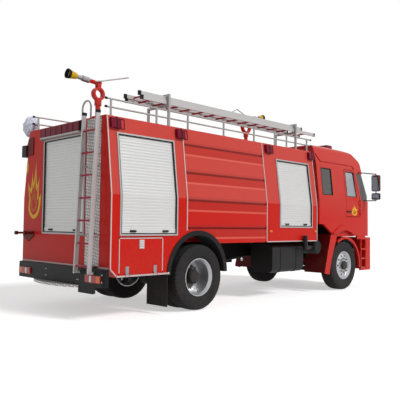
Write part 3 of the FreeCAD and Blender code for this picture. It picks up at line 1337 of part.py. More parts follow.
def ladder_rack(x):
    """Square tube frame that holds the roof ladder over the right railing."""
    t = RACK_TUBE
    outer = -RAILING_Y
    ladder_top = LOWER_LADDER_Z + 2 * ROOF_STILE_H
    return [box(x, x + t, outer - t / 2.0, outer + t / 2.0, ROOF_Z, ladder_top + t),
            box(x, x + t, outer - t / 2.0, RACK_INNER_Y + t, LOWER_LADDER_Z - t, LOWER_LADDER_Z),
            box(x, x + t, outer - t / 2.0, ROOF_LADDER_Y + UPPER_LADDER_HALF, ladder_top, ladder_top + t),
            box(x, x + t, RACK_INNER_Y, RACK_INNER_Y + t, ROOF_Z, LOWER_LADDER_Z)]


def handrail():
    """Bowed handrail beside the head of the rear ladder."""
    y0, y1 = HANDRAIL_Y
    r = (y0 - y1) / 2.0
    knee_z = HANDRAIL_TOP_Z - r
    legs = [rod((HANDRAIL_X, y, ROOF_Z), (HANDRAIL_X, y, knee_z), HANDRAIL_R) for y in (y0, y1)]
    path = Part.Arc(Vector(HANDRAIL_X, y0, knee_z), Vector(HANDRAIL_X, y0 - r, HANDRAIL_TOP_Z),
                    Vector(HANDRAIL_X, y1, knee_z)).toShape()
    ring = Part.Wire(Part.makeCircle(HANDRAIL_R, Vector(HANDRAIL_X, y0, knee_z), Vector(0, 0, 1)))
    bow = Part.Wire(path).makePipeShell([ring], True, False)
    return fused(legs + [bow])


def roof_rails():
    """Railings, the rack that holds the ladder and the handrail by the rear ladder."""
    pieces = railing(-1)
    for x in RACK_X:
        pieces += ladder_rack(x)
    return together([fused(pieces), fused(railing(1)), handrail()])


def ladder_section(x0, x1, half, z):
    """One flat ladder section with capped stiles on edge and round rungs."""
    pieces = []
    t = LADDER_CAP_T
    for y in (ROOF_LADDER_Y - half, ROOF_LADDER_Y + half - ROOF_STILE_W):
        pieces.append(box(x0, x1, y, y + ROOF_STILE_W, z, z + ROOF_STILE_H))
        for a, b in ((x0 - t, x0 + LADDER_CAP), (x1 - LADDER_CAP, x1 + t)):
            pieces.append(box(a, b, y - t, y + ROOF_STILE_W + t, z - t, z + ROOF_STILE_H + t))
    count = int((x1 - x0 - ROOF_RUNG_PITCH) // ROOF_RUNG_PITCH) + 1
    start = x0 + ((x1 - x0) - (count - 1) * ROOF_RUNG_PITCH) / 2.0
    mid_z = z + ROOF_STILE_H / 2.0
    for i in range(count):
        x = start + i * ROOF_RUNG_PITCH
        pieces.append(rod((x, ROOF_LADDER_Y - half, mid_z), (x, ROOF_LADDER_Y + half, mid_z), ROOF_RUNG_R))
    return fused(pieces)


def roof_ladder():
    """Two ladder sections, one lying on the other."""
    lower = ladder_section(LOWER_LADDER_X[0], LOWER_LADDER_X[1], LOWER_LADDER_HALF, LOWER_LADDER_Z)
    upper = ladder_section(UPPER_LADDER_X[0], UPPER_LADDER_X[1], UPPER_LADDER_HALF,
                           LOWER_LADDER_Z + ROOF_STILE_H)
    return fused([lower, upper])


def monitor_base(x, y, seat):
    """Flanged riser pipe with the spigot that the swivel turns on."""
    flange = rod((x, y, ROOF_Z), (x, y, ROOF_Z + MONITOR_FLANGE_T), MONITOR_FLANGE_R)
    pipe = rod((x, y, ROOF_Z), (x, y, seat), MONITOR_PIPE_R)
    spigot = rod((x, y, seat), (x, y, seat + MONITOR_SPIGOT), MONITOR_POST_R)
    return fused([flange, pipe, spigot])


def monitor_bases():
    return together([monitor_base(REAR_MONITOR_X, REAR_MONITOR_Y, REAR_MONITOR_SEAT),
                     monitor_base(FRONT_MONITOR_X, 0, FRONT_MONITOR_SEAT)])


def monitor_swivel(x, y, seat, lift):
    """Ring casting that turns on the riser and carries the lift pin between two cheeks."""
    bottom = seat + SEAT_GAP
    collar_top = seat + MONITOR_SPIGOT + COLLAR_WALL
    collar = rod((x, y, bottom), (x, y, collar_top + COLLAR_LIP), MONITOR_PIPE_R + COLLAR_WALL)
    ring_r = (lift - RING_DROP - collar_top) / 2.0
    ring_z = collar_top + ring_r
    inner = LIFT_EYE_T / 2.0 + LIFT_CHEEK_GAP
    outer = inner + LIFT_CHEEK
    ring = rod((x, y - outer, ring_z), (x, y + outer, ring_z), ring_r)
    hole = rod((x, y - outer, ring_z), (x, y + outer, ring_z), ring_r - RING_WALL)
    pieces = [ring.cut(hole), collar, rod((x, y - outer, lift), (x, y + outer, lift), LIFT_PIN_R)]
    for low in (y - outer, y + inner):
        pieces.append(rod((x, low, lift), (x, low + LIFT_CHEEK, lift), LIFT_CHEEK_R))
        pieces.append(box(x - LIFT_CHEEK_R + COLLAR_LIP, x + LIFT_CHEEK_R - COLLAR_LIP, low, low + LIFT_CHEEK,
                          lift - RING_DROP - OVER, lift))
    bore = rod((x, y, bottom - 1), (x, y, seat + MONITOR_SPIGOT + 1), MONITOR_POST_R + RUN_FIT)
    return fused(pieces).cut(bore)


def monitor_barrel(handles, reach, rise):
    """Barrel with coupling and bell nozzle about a lift eye at the origin, pointing along X."""
    inner = LIFT_EYE_T / 2.0
    length = math.hypot(reach, rise)
    tip = length - BELL_L
    pieces = [rod((0, -inner, 0), (0, inner, 0), LIFT_EYE_R), rod((0, 0, 0), (BARREL_START + 5, 0, 0),
                                                                  inner - 1),
              rod((BARREL_START, 0, 0), (tip, 0, 0), BARREL_R),
              rod((tip * COUPLING_SPAN[0], 0, 0), (tip * COUPLING_SPAN[1], 0, 0), COUPLING_R),
              Part.makeCone(COUPLING_R, BELL_R, BELL_L, Vector(tip, 0, 0), Vector(1, 0, 0))]
    pieces += handles
    mouth = Part.makeCone(BELL_MOUTH_R - MOUTH_FLARE, BELL_MOUTH_R + MOUTH_FLARE, BELL_DEPTH,
                          Vector(length - BELL_DEPTH, 0, 0),
                          Vector(1, 0, 0))
    whole = fused(pieces).cut([mouth, rod((0, -inner, 0), (0, inner, 0), LIFT_PIN_R + RUN_FIT)])
    whole.rotate(Vector(0, 0, 0), Vector(0, 1, 0), -math.degrees(math.atan2(rise, reach)))
    return whole


def bent_rod(points, radius):
    """Round bar through a chain of points, with a ball at each bend."""
    bars = [rod(points[i], points[i + 1], radius) for i in range(len(points) - 1)]
    return bars + [Part.makeSphere(radius, Vector(*p)) for p in points[1:-1]]


def rear_monitor_barrel():
    """Rear barrel, pointing back, with its steering lever pointing forward."""
    lean = BELL_R * REAR_NOZZLE_RISE / (REAR_MONITOR_X - REAR_NOZZLE_TIP)
    reach = REAR_MONITOR_X - REAR_NOZZLE_TIP - lean
    a = math.radians(180 - REAR_LEVER_ANGLE)
    far = (REAR_LEVER_LENGTH * math.cos(a), HANDLE_SIDE, REAR_LEVER_LENGTH * math.sin(a))
    lever = bent_rod([(HANDLE_FOOT, 0, 0), (HANDLE_FOOT, HANDLE_SIDE, 0), (0, HANDLE_SIDE, LEVER_LIFT), far],
                     LEVER_R)
    barrel = monitor_barrel(lever, reach, REAR_NOZZLE_RISE)
    barrel.rotate(Vector(0, 0, 0), Vector(0, 0, 1), 180)
    barrel.translate(Vector(REAR_MONITOR_X, REAR_MONITOR_Y, REAR_MONITOR_LIFT))
    return barrel


def front_monitor_barrel():
    """Front barrel, pointing ahead, with the bent bail that aims it."""
    path = [(x, y * HANDLE_SIDE, z) for x, y, z in BAIL_PATH]
    bail = bent_rod(path + [(HANDLE_FOOT, HANDLE_SIDE, 0), (HANDLE_FOOT, 0, 0)], LEVER_R)
    barrel = monitor_barrel(bail, FRONT_NOZZLE_LENGTH, FRONT_NOZZLE_RISE)
    barrel.translate(Vector(FRONT_MONITOR_X, 0, FRONT_MONITOR_LIFT))
    return barrel


def search_lamp():
    """Search lamp in its protective wrap, on a stem from the left railing."""
    ball = Part.makeSphere(1.0)
    squash = FreeCAD.Matrix()
    squash.scale(*WRAP_R)
    body = ball.transformGeometry(squash)
    body.translate(Vector(WRAP_X, WRAP_Y, WRAP_Z))
    start = RAILING_Y + RAILING_POST_R + SEAT_GAP
    stem = rod((WRAP_X, start, RAILING_LOW_Z), (WRAP_X, WRAP_Y, RAILING_LOW_Z), WRAP_STEM_R)
    return fused([body, stem])


# Front

def bumper_hull(inset):
    """Solid front bumper form, drawn in by an even margin but open at its back, top and bottom."""
    half = FRONT_BUMPER_HALF - inset
    nose = NOSE_X - inset
    r = FRONT_BUMPER_CORNER - inset
    run = OVER if inset else 0
    back, low, high = FRONT_BUMPER_BACK - run, FRONT_BUMPER_BOTTOM - run, FRONT_BUMPER_TOP + run
    plan = plan_plate([(back, -half, 0), (nose, -half, r), (nose, half, r), (back, half, 0)], low, high)
    side = side_plate([(back, low, 0), (nose - FRONT_BUMPER_TUCK, low, 0), (nose, low + FRONT_BUMPER_CHIN,
                                                                            60),
                       (nose, high, 0), (back, high, 0)], -half - OVER, half + OVER)
    return plan.common(side)


def step_opening():
    return box(STEP_WELL[0], STEP_WELL[1], FRONT_BUMPER_HALF - FRONT_BUMPER_WALL - 1, FRONT_BUMPER_HALF + 1,
               STEP_WELL_Z[0], STEP_WELL_Z[1])


def headlamp_window():
    return box(NOSE_X - FRONT_BUMPER_CORNER - HEADLAMP_T, NOSE_X + OVER, HEADLAMP_IN, HEADLAMP_OUT,
               HEADLAMP_Z[0], HEADLAMP_Z[1])


def front_bumper():
    """Wrap-round bumper shell with openings for the steps and the headlamps."""
    shell = bumper_hull(0).cut(bumper_hull(FRONT_BUMPER_WALL))
    tow_hole = rod((NOSE_X - 100, TOW_Y, TOW_Z), (NOSE_X + OVER, TOW_Y, TOW_Z), TOW_R + TOW_GAP)
    return shell.cut(both(step_opening()) + both(headlamp_window()) + both(tow_hole))


def headlamps():
    """Headlamp units that fill their openings in the bumper."""
    shell = bumper_hull(HEADLAMP_SINK).cut(bumper_hull(HEADLAMP_T))
    return together(both(shell.common(headlamp_window())))


def cab_step():
    """Left set of cab steps: treads between two cheeks, in front of a back plate."""
    x0, x1 = STEP_WELL
    z0, z1 = STEP_WELL_Z
    outer = FRONT_BUMPER_HALF - STEP_SINK
    inner = FRONT_BUMPER_HALF - STEP_WELL_DEPTH
    pieces = [box(x0, x1, inner - STEP_CHEEK, inner, z0, z1),
              box(x0, x0 + STEP_CHEEK, inner, outer, z0, z1), box(x1 - STEP_CHEEK, x1, inner, outer, z0, z1)]
    pitch = (z1 - z0 - STEP_TREAD_T) / STEP_TREADS
    for i in range(STEP_TREADS):
        z = z0 + i * pitch
        pieces.append(box(x0, x1, inner, outer, z, z + STEP_TREAD_T))
    return fused(pieces)


def guard_x(z):
    """Rear edge of the front mudguard at a height above its bend."""
    top, knee = GUARD_BACK[0], GUARD_BACK[1]
    return knee + (top - knee) * (z - GUARD_KNEE_Z) / (GUARD_TOP_Z - GUARD_KNEE_Z)


def front_mudguard():
    """Left fixed mudguard behind the front wheel: a flat outer panel and a bent wall that faces back."""
    heights = (GUARD_TOP_Z, GUARD_KNEE_Z, GUARD_TAIL_Z)
    bends = (0, GUARD_BEND_R, 0)
    back = list(zip(GUARD_BACK, heights, bends))
    front = list(zip(GUARD_FRONT, (GUARD_TOP_Z, GUARD_KNEE_Z, GUARD_BOTTOM_Z), bends))
    ahead = [(x + GUARD_SKIN, z, r) for x, z, r in back]
    panel = side_plate(back + front[::-1], CAB_HALF - GUARD_SKIN, CAB_HALF)
    wall = side_plate(back + ahead[::-1], GUARD_IN, CAB_HALF)
    return fused([panel, wall])


def front_mudguards():
    return together(both(front_mudguard()))


# Cab

def cab_side_outline(inset):
    """Side view of the cab, drawn in by an even margin: chin, nose, windscreen, brow and falling roof."""
    k = inset
    top = CAB_ROOF_TOP - k
    nose = CAB_NOSE - k
    return [(CAB_BACK + k, CAB_BOTTOM, 0), (nose - CHIN_TUCK, CAB_BOTTOM, 0), (nose, CAB_FLOOR, NOSE_ROUND),
            (nose - SCREEN_FOOT, SCREEN_FOOT_Z, 120), (nose - SCREEN_HEAD, SCREEN_TOP + 40 - k * 0.3, 60),
            (nose - BROW, top - BROW_DROP, 140), (nose - ROOF_FRONT + k * 0.4, top - ROOF_FRONT_DROP, 260),
            (ROOF_CREST_X, top, 900), (CAB_BACK + k, top - ROOF_FALL, 50)]


def cab_cross_outline(inset):
    """Front view of the cab, with sides that lean in above the waist."""
    half = CAB_HALF - inset
    top = CAB_ROOF_TOP - inset
    return symmetric([(half, CAB_BOTTOM, 0), (half, WAIST_Z, 500), (half - SEAM_IN, ROOF_SEAM, 200),
                      (half - EAVE_IN, top - EAVE_DROP, 110), (half - CROWN_FLAT_IN, top + 4, 300)])


def cab_hull(inset):
    """Closed cab form: its side, front and plan views extruded and kept where all three agree."""
    half = CAB_HALF - inset
    back, nose = CAB_BACK + inset, CAB_NOSE + 5 - inset
    side = side_plate(cab_side_outline(inset), -CAB_HALF - OVER, CAB_HALF + OVER)
    front = cross_plate(cab_cross_outline(inset), CAB_BACK - OVER, NOSE_X + OVER)
    plan = plan_plate([(back, -half, 30), (nose, -half, CAB_CORNER), (nose, half, CAB_CORNER), (back, half,
                                                                                                30)],
                      CAB_BOTTOM - OVER, CAB_ROOF_TOP + OVER)
    return side.common([front]).common([plan])


def cab_slice(x0, x1, z0, z1):
    """Block right across the cab between two places and two heights."""
    return box(x0, x1, -CAB_HALF - OVER, CAB_HALF + OVER, z0, z1)


def cab_skin(outer, inner):
    """Layer of the cab wall between two depths."""
    return cab_hull(outer).cut(cab_hull(inner))


def door_outline(margin):
    """Side view of the door, grown by a margin."""
    m = margin
    return [(DOOR_BACK - m, DOOR_SILL - m, 30), (DOOR_FRONT + m, DOOR_SILL - m, 30),
            (DOOR_FRONT + m, WINDOW_BASE - 60 + m, 30), (PILLAR_TOP_X + m + 30, DOOR_HEAD + m, 50),
            (DOOR_BACK - m, DOOR_HEAD + m, 50)]


def door_window_outline():
    return [(DOOR_BACK + 60, WINDOW_BASE, 25), (DOOR_FRONT - 120, WINDOW_BASE, 25),
            (PILLAR_TOP_X - 10, WINDOW_TOP, 40), (DOOR_BACK + 60, WINDOW_TOP, 40)]


def screen_zone():
    """Everything ahead of the windscreen's side edges, between its base and top."""
    front = NOSE_X + OVER
    return side_plate([(SCREEN_SIDE[1], SCREEN_BASE, 30), (front, SCREEN_BASE, 0),
                       (front, SCREEN_TOP, 0), (SCREEN_SIDE[0], SCREEN_TOP, 30)],
                      -CAB_HALF - OVER, CAB_HALF + OVER)


def quarter_zone():
    """Left fixed rear side window, right through the wall."""
    x0, x1 = QUARTER
    z0, z1 = WINDOW_BASE, WINDOW_TOP + QUARTER_RISE
    return side_plate([(x0, z0, 30), (x1, z0, 30), (x1, z1, 30), (x0, z1, 30)], *side_band())


def grille_zone():
    y, (z0, z1) = GRILLE_HALF, GRILLE_Z
    return cross_plate([(-y, z0, 30), (y, z0, 30), (y, z1, 30), (-y, z1, 30)], CAB_NOSE - NOSE_ROUND,
                       NOSE_X + OVER)


def door_hinge_axis():
    return DOOR_FRONT + 1, CAB_HALF + DOOR_HINGE_OUT


def front_arch_cut():
    """Wheel openings under the cab and the space inside them."""
    return both(rod((FRONT_ARCH_X, CAB_HALF - ARCH_DEPTH, FRONT_ARCH_Z),
                    (FRONT_ARCH_X, CAB_HALF + FLARE_OUT + OVER, FRONT_ARCH_Z), FRONT_ARCH_R))


def cab_tail_cut():
    """Space below the rear of the cab: a level lift, then a slope up to the back wall."""
    low = CAB_BOTTOM + CAB_LIFT
    high = CAB_FLOOR - FLOOR_T
    back, foot, bend = CAB_BACK - OVER, CAB_TAIL[0], CAB_TAIL[1]
    return side_plate([(back, CAB_BOTTOM - OVER, 0), (FRONT_ARCH_X, CAB_BOTTOM - OVER, 0), (FRONT_ARCH_X,
                                                                                            low, 0),
                       (foot, low, CAB_TAIL_ROUND), (bend, high, CAB_TAIL_ROUND), (back, high, 0)],
                      -CAB_HALF - OVER, CAB_HALF + OVER)


def cab_flare():
    """Left raised band round the front wheel opening."""
    inner, outer = CAB_HALF - CAB_WALL, CAB_HALF + FLARE_OUT
    ring = rod((FRONT_ARCH_X, inner, FRONT_ARCH_Z), (FRONT_ARCH_X, outer, FRONT_ARCH_Z),
               FRONT_ARCH_R + FLARE_W)
    split = FRONT_BUMPER_BACK - MOVE_GAP
    top = FRONT_ARCH_Z + FRONT_ARCH_R + FLARE_W + OVER
    rear = box(CAB_TAIL[0], split, inner, outer + OVER, CAB_BOTTOM + CAB_LIFT, top)
    front = box(split, CAB_NOSE - CHIN_TUCK, inner, outer + OVER, CAB_BOTTOM, top)
    return ring.common(rear.fuse(front))


def cab_lugs():
    """Tilt eyes under the floor and the door hinge halves on the left, each with its twin."""
    y0, y1 = TILT_LUG_Y
    lugs = both(box(TILT_X - TILT_EYE_R + 4, TILT_X + OVER, y0, y1, TILT_Z, CAB_BOTTOM + TILT_NECK))
    lugs += both(rod((TILT_X, y0, TILT_Z), (TILT_X, y1, TILT_Z), TILT_EYE_R))
    hx, hy = door_hinge_axis()
    for z in DOOR_HINGES_Z:
        for low in (z - DOOR_HINGE_L, z + DOOR_HINGE_L):
            z0, z1 = low + HINGE_END_GAP, low + DOOR_HINGE_L - HINGE_END_GAP
            lugs += both(box(hx + 5, hx + HINGE_LEAF, CAB_HALF - OVER, hy + HINGE_LEAF_T, z0, z1))
            lugs += both(rod((hx, hy, z0), (hx, hy, z1), DOOR_HINGE_R))
        lugs += both(rod((hx, hy, z - DOOR_HINGE_L), (hx, hy, z + 2 * DOOR_HINGE_L), DOOR_PIN_R))
    return lugs


def cab_shell():
    """Cab body below the roof seam, hollow above and below its floor."""
    back, front = CAB_BACK - OVER, NOSE_X + OVER
    lower = cab_hull(0).common(cab_slice(back, front, 0, ROOF_SEAM))
    inner = cab_hull(CAB_WALL)
    room = inner.common(cab_slice(back, front, CAB_FLOOR, CAB_ROOF_TOP))
    under = inner.common(cab_slice(back, front, 0, CAB_FLOOR - FLOOR_T))
    cuts = [room, under, cab_tail_cut(), screen_zone()] + front_arch_cut() + both(quarter_zone())
    cuts += both(side_plate(door_outline(DOOR_GAP), *side_band()))
    cuts.append(grille_zone().cut(cab_hull(GRILLE_DEPTH)))
    shell = fused([lower] + both(cab_flare())).cut(cuts)
    y0, y1 = TILT_LUG_Y
    bores = both(rod((TILT_X, y0 - OVER, TILT_Z), (TILT_X, y1 + OVER, TILT_Z), TILT_PIN_R + RUN_FIT))
    return fused([shell] + cab_lugs()).cut(bores)


def roof_recess():
    """Left shallow recess under the raised roof panel, with a sloped rear edge."""
    x0, x1 = RECESS_X
    back = CAB_BACK + OVER
    low, mid, high = ROOF_SEAM - OVER, ROOF_SEAM + RECESS_TOP, ROOF_SEAM + RECESS_REAR_TOP
    zone = side_plate([(back, low, 0), (x1 + RECESS_SLOPE, low, 0), (x1, mid, 30), (x0, mid, 60),
                       (back + OVER, high, 0), (back, high, 0)], CAB_HALF - CROWN_FLAT_IN, CAB_HALF + OVER)
    return cab_skin(-2, RECESS_DEPTH).common(zone)


def cab_roof():
    """Raised roof over the seam, hollow inside, with a stepped recess along each side."""
    above = cab_slice(CAB_BACK - OVER, NOSE_X + OVER, ROOF_SEAM, CAB_ROOF_TOP + 2 * OVER)
    return cab_hull(0).common(above).cut([cab_hull(CAB_WALL)] + both(roof_recess()))


def front_grille():
    """Framed grille insert with level bars, seated in its pocket."""
    plate = cab_hull(0).common(grille_zone()).cut(cab_hull(GRILLE_DEPTH))
    z0, z1 = GRILLE_Z
    b = GRILLE_BAR
    pitch = (z1 - z0 - b) / GRILLE_BARS
    floor = cab_hull(GRILLE_DEPTH - GRILLE_BACK_T)
    gaps = []
    for i in range(GRILLE_BARS):
        z = z0 + b + i * pitch
        gap = box(CAB_NOSE - NOSE_ROUND, NOSE_X + OVER, -GRILLE_HALF + b, GRILLE_HALF - b, z, z + pitch - b)
        gaps.append(gap.cut(floor))
    return plate.cut(gaps)


def cab_glass():
    """Wrap-round windscreen and the two fixed rear side windows."""
    layer = cab_skin(GLASS_INSET, GLASS_INSET + GLASS_T)
    panes = [layer.common(screen_zone())] + both(layer.common(quarter_zone()))
    return together(panes)


def side_band():
    """Y range that takes in the whole left wall of the cab."""
    return CAB_HALF - SIDE_DEPTH, CAB_HALF + FLARE_OUT + OVER


def door(glass):
    """Left door panel with its window cut, or the pane that fills that window."""
    window = side_plate(door_window_outline(), *side_band())
    if glass:
        return cab_skin(GLASS_INSET, GLASS_INSET + GLASS_T).common(window)
    blank = side_plate(door_outline(0), *side_band())
    panel = cab_skin(0, DOOR_T).common(blank).cut(window)
    hx, hy = door_hinge_axis()
    leaf = hx - HINGE_LEAF * 1.5
    pieces = [panel]
    for z in DOOR_HINGES_Z:
        low, high = z + HINGE_END_GAP, z + DOOR_HINGE_L - HINGE_END_GAP
        pieces.append(rod((hx, hy, low), (hx, hy, high), DOOR_HINGE_R))
        pieces.append(box(leaf, hx, hy - HINGE_LEAF_T, hy + 2, low, high))
        pieces.append(box(leaf, hx - OVER, CAB_HALF - DOOR_HANDLE_IN, hy, low, high))
    x0, x1 = DOOR_HANDLE_X
    root, out = CAB_HALF - DOOR_HANDLE_IN, CAB_HALF + DOOR_HANDLE_OUT
    pieces.append(plan_plate([(x0, root, 0), (x1, root, 0), (x1, out, 9), (x0, out, 9)],
                             DOOR_HANDLE_Z, DOOR_HANDLE_Z + DOOR_HANDLE_H))
    whole = fused(pieces)
    pins = [rod((hx, hy, z - 10), (hx, hy, z + DOOR_HINGE_L + 10),
                DOOR_PIN_R + RUN_FIT) for z in DOOR_HINGES_Z]
    return whole.cut(pins)


def seat(y):
    """One cab seat: cushion and back on a plinth."""
    x0, x1 = SEAT_X, SEAT_X + SEAT_L
    y0, y1 = y - SEAT_W / 2.0, y + SEAT_W / 2.0
    base = CAB_FLOOR + SEAT_BASE
    m = SEAT_PLINTH_IN
    plinth = box(x0 + m, x1 - m, y0 + m, y1 - m, CAB_FLOOR, base)
    cushion = side_plate([(x0, base, 20), (x1, base, 20), (x1, base + CUSHION_T, 50),
                          (x0, base + CUSHION_T - OVER, 20)], y0, y1)
    foot, head = base + CUSHION_T - 2 * OVER, base + SEAT_BACK_H
    back = side_plate([(x0, foot, 20), (x0 + CUSHION_T, foot, 20), (x0 - 10, head, 35),
                       (x0 - SEAT_LEAN, head, 35)], y0 + OVER, y1 - OVER)
    return fused([plinth, cushion, back])


def seats():
    """Driver's and crew seats with the rear bench."""
    half = CAB_HALF - CAB_WALL - TRIM_GAP
    x0, x1 = CAB_BACK + BENCH_X[0], CAB_BACK + BENCH_X[1]
    top = CAB_FLOOR + BENCH_H
    bench = side_plate([(x0, CAB_FLOOR, 0), (x1, CAB_FLOOR, 20), (x1 + OVER, top, 50), (x0, top, 10)],
                       -half, half)
    return together(both(seat(SEAT_Y)) + [bench])


def dashboard():
    """Dashboard across the cab with the steering column and wheel."""
    half = CAB_HALF - CAB_WALL - TRIM_GAP - OVER
    front = DASH_X + DASH_L
    slab = side_plate([(DASH_X + DASH_TUCK, CAB_FLOOR, 0), (front - 2 * OVER, CAB_FLOOR, 0),
                       (front, DASH_TOP - DASH_TUCK, 40), (DASH_X + 2 * OVER, DASH_TOP, 60),
                       (DASH_X, DASH_TOP - DASH_FACE, 60)], -half, half)
    hub = Vector(DASH_X - COLUMN_L, SEAT_Y, DASH_TOP - OVER)
    ring = Part.makeTorus(WHEEL_RING_R, WHEEL_TUBE_R, hub, Vector(*WHEEL_AXIS))
    column = rod((DASH_X + DASH_TUCK, SEAT_Y, DASH_TOP - DASH_FACE), tuple(hub), COLUMN_R)
    spoke = rod((hub.x, SEAT_Y - WHEEL_RING_R, hub.z), (hub.x, SEAT_Y + WHEEL_RING_R, hub.z), SPOKE_R)
    return fused([slab, ring, column, spoke])


def mirror_head(size, low):
    """Mirror housing with rounded corners about the arm's outer tube."""
    t, w, h = size
    y0, y1 = MIRROR_Y - w / 2.0, MIRROR_Y + w / 2.0
    r = MIRROR_CORNER
    return cross_plate([(y0, low, r), (y1, low, r), (y1, low + h, r), (y0, low + h, r)],
                       MIRROR_X - t / 2.0, MIRROR_X + t / 2.0)


def mirror():
    """Left mirror arm with its large and small heads."""
    low_z = MIRROR_LOW - OVER
    path = [(CAB_NOSE - MIRROR_ARM_TOP, CAB_HALF - SEAM_IN - CAB_WALL, (SCREEN_TOP + ROOF_SEAM) / 2.0),
            (MIRROR_X, MIRROR_Y, MIRROR_TOP), (MIRROR_X, MIRROR_Y, low_z),
            (CAB_NOSE - MIRROR_ARM_LOW, CAB_HALF - CAB_WALL, low_z)]
    heads = [mirror_head(MIRROR_HEAD, MIRROR_TOP - OVER - MIRROR_HEAD[2]), mirror_head(MIRROR_SMALL,
                                                                                       MIRROR_LOW)]
    return fused(bent_rod(path, MIRROR_TUBE_R) + heads).cut(cab_hull(0))


def sun_visor():
    """Dark visor over the windscreen."""
    band = box(CAB_NOSE - VISOR_BACK, NOSE_X + OVER, -VISOR_HALF, VISOR_HALF,
               SCREEN_TOP - VISOR_H / 2.0, SCREEN_TOP + VISOR_H / 2.0)
    return cab_hull(-VISOR_REACH).common(band).cut(cab_hull(0))


def beacon_bar():
    """Trapezoid beacon bar across the cab roof."""
    top = CAB_ROOF_TOP + BEACON_RISE
    low = CAB_ROOF_TOP - BEACON_H
    back, front = BEACON_X - BEACON_W / 2.0, BEACON_X + BEACON_W / 2.0
    points = [(back, low, 0), (front, low, 0), (front - BEACON_SLOPE, top, OVER), (back + BEACON_SLOPE, top,
                                                                                   OVER)]
    return side_plate(points, -BEACON_HALF, BEACON_HALF).cut(cab_hull(0))


def parts():
    """Every node of the engine by name."""
    rear_swivel = monitor_swivel(REAR_MONITOR_X, REAR_MONITOR_Y, REAR_MONITOR_SEAT, REAR_MONITOR_LIFT)
    front_swivel = monitor_swivel(FRONT_MONITOR_X, 0, FRONT_MONITOR_SEAT, FRONT_MONITOR_LIFT)
    nodes = {
        "chassis_frame": chassis_frame(), "driveline": driveline(), "front_axle": front_axle(),
        "rear_axle": rear_axle(), "leaf_springs": leaf_springs(), "front_bumper": front_bumper(),
        "headlamps": headlamps(), "cab_steps": together(both(cab_step())),
        "front_mudguards": front_mudguards(), "fuel_tank": fuel_tank(), "battery_box": battery_box(),
        "air_cleaner": air_cleaner(), "rear_module": rear_module(), "tank_module": tank_module(),
        "front_module": front_module(), "roller_shutters": roller_shutters(),
        "rear_mudguards": rear_mudguards(), "rear_bumper": rear_bumper(), "tail_lamps": tail_lamps(),
        "warning_lamps": warning_lamps(), "tail_fittings": tail_fittings(),
        "rear_ladder": rear_ladder(), "roof_rails": roof_rails(),
        "roof_ladder": roof_ladder(), "monitor_bases": monitor_bases(), "search_lamp": search_lamp(),
        "rear_monitor_swivel": rear_swivel, "rear_monitor_barrel": rear_monitor_barrel(),
        "front_monitor_swivel": front_swivel, "front_monitor_barrel": front_monitor_barrel(),
        "cab_shell": cab_shell(), "cab_roof": cab_roof(), "front_grille": front_grille(),
        "cab_glass": cab_glass(), "seats": seats(), "dashboard": dashboard(),
        "mirrors": together(both(mirror())), "sun_visor": sun_visor(), "beacon_bar": beacon_bar(),
    }
    sided = {"locker_flap": locker_flap(), "knuckle": knuckle(), "front_tyre": front_tyre(),
             "front_rim": front_rim(), "rear_tyres": rear_tyres(), "rear_rims": twin_rim(),
             "door": door(False), "door_glass": door(True)}
    for name, shape in sided.items():
        nodes[name + "_left"] = shape
        nodes[name + "_right"] = mirrored(shape)
    return nodes


def main():
    os.makedirs("parts", exist_ok=True)
    for name, shape in parts().items():
        placed = shape.translated(Vector(-MID_X, 0, 0))
        placed.exportStep("parts/" + name + ".step")


main()
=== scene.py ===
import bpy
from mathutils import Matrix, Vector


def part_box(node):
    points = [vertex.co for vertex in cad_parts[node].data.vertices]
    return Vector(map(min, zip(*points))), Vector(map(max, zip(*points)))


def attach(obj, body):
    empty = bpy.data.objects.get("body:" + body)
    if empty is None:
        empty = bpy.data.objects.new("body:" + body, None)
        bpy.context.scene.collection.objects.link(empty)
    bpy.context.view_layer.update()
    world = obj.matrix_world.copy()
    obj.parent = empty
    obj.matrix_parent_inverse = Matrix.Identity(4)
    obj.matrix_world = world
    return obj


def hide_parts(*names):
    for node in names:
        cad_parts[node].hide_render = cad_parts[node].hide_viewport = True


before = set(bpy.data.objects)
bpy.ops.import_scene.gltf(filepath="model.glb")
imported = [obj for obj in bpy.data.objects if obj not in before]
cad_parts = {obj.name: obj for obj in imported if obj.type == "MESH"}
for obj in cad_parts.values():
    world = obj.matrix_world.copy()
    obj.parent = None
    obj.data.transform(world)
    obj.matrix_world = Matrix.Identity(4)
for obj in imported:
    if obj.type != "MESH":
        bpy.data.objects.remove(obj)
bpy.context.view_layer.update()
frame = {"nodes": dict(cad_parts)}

import math

import bpy
import numpy as np
from bpy.props import FloatProperty, FloatVectorProperty, IntProperty, PointerProperty
from mathutils import Matrix, Vector
from mathutils.geometry import tessellate_polygon

bl_info = {
    "name": "Fire Engine Dressing",
    "version": (1, 1, 0),
    "blender": (4, 5, 0),
    "location": "3D View > Sidebar > Fire Engine",
    "description": "Paint, tread, trims, seats, artwork, lamps and the studio around a fire engine's solids",
    "category": "Object",
}


# Places read from the solids, in metres

def span(node):
    """Lowest and highest corner of a solid's box as arrays."""
    low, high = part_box(node)
    return np.array(low), np.array(high)


REAR_AXLE_X = float(sum(span("rear_tyres_right"))[0] / 2)
FRONT_AXLE_X = float(sum(span("front_tyre_right"))[0] / 2)
TYRE_R = float(span("front_tyre_left")[1][2] / 2)
TYRE_W = float(np.diff(span("front_tyre_left"), axis=0)[0][1])
BODY_BACK, BODY_HALF = float(span("rear_module")[0][0]), float(span("front_module")[1][1])
JOIN_BACK, JOIN_FRONT = (float(v[0]) for v in span("tank_module"))
BODY_FRONT, ROOF_Z = float(span("front_module")[1][0]), float(span("front_module")[1][2])
SKIRT_Z = float(span("front_module")[0][2])

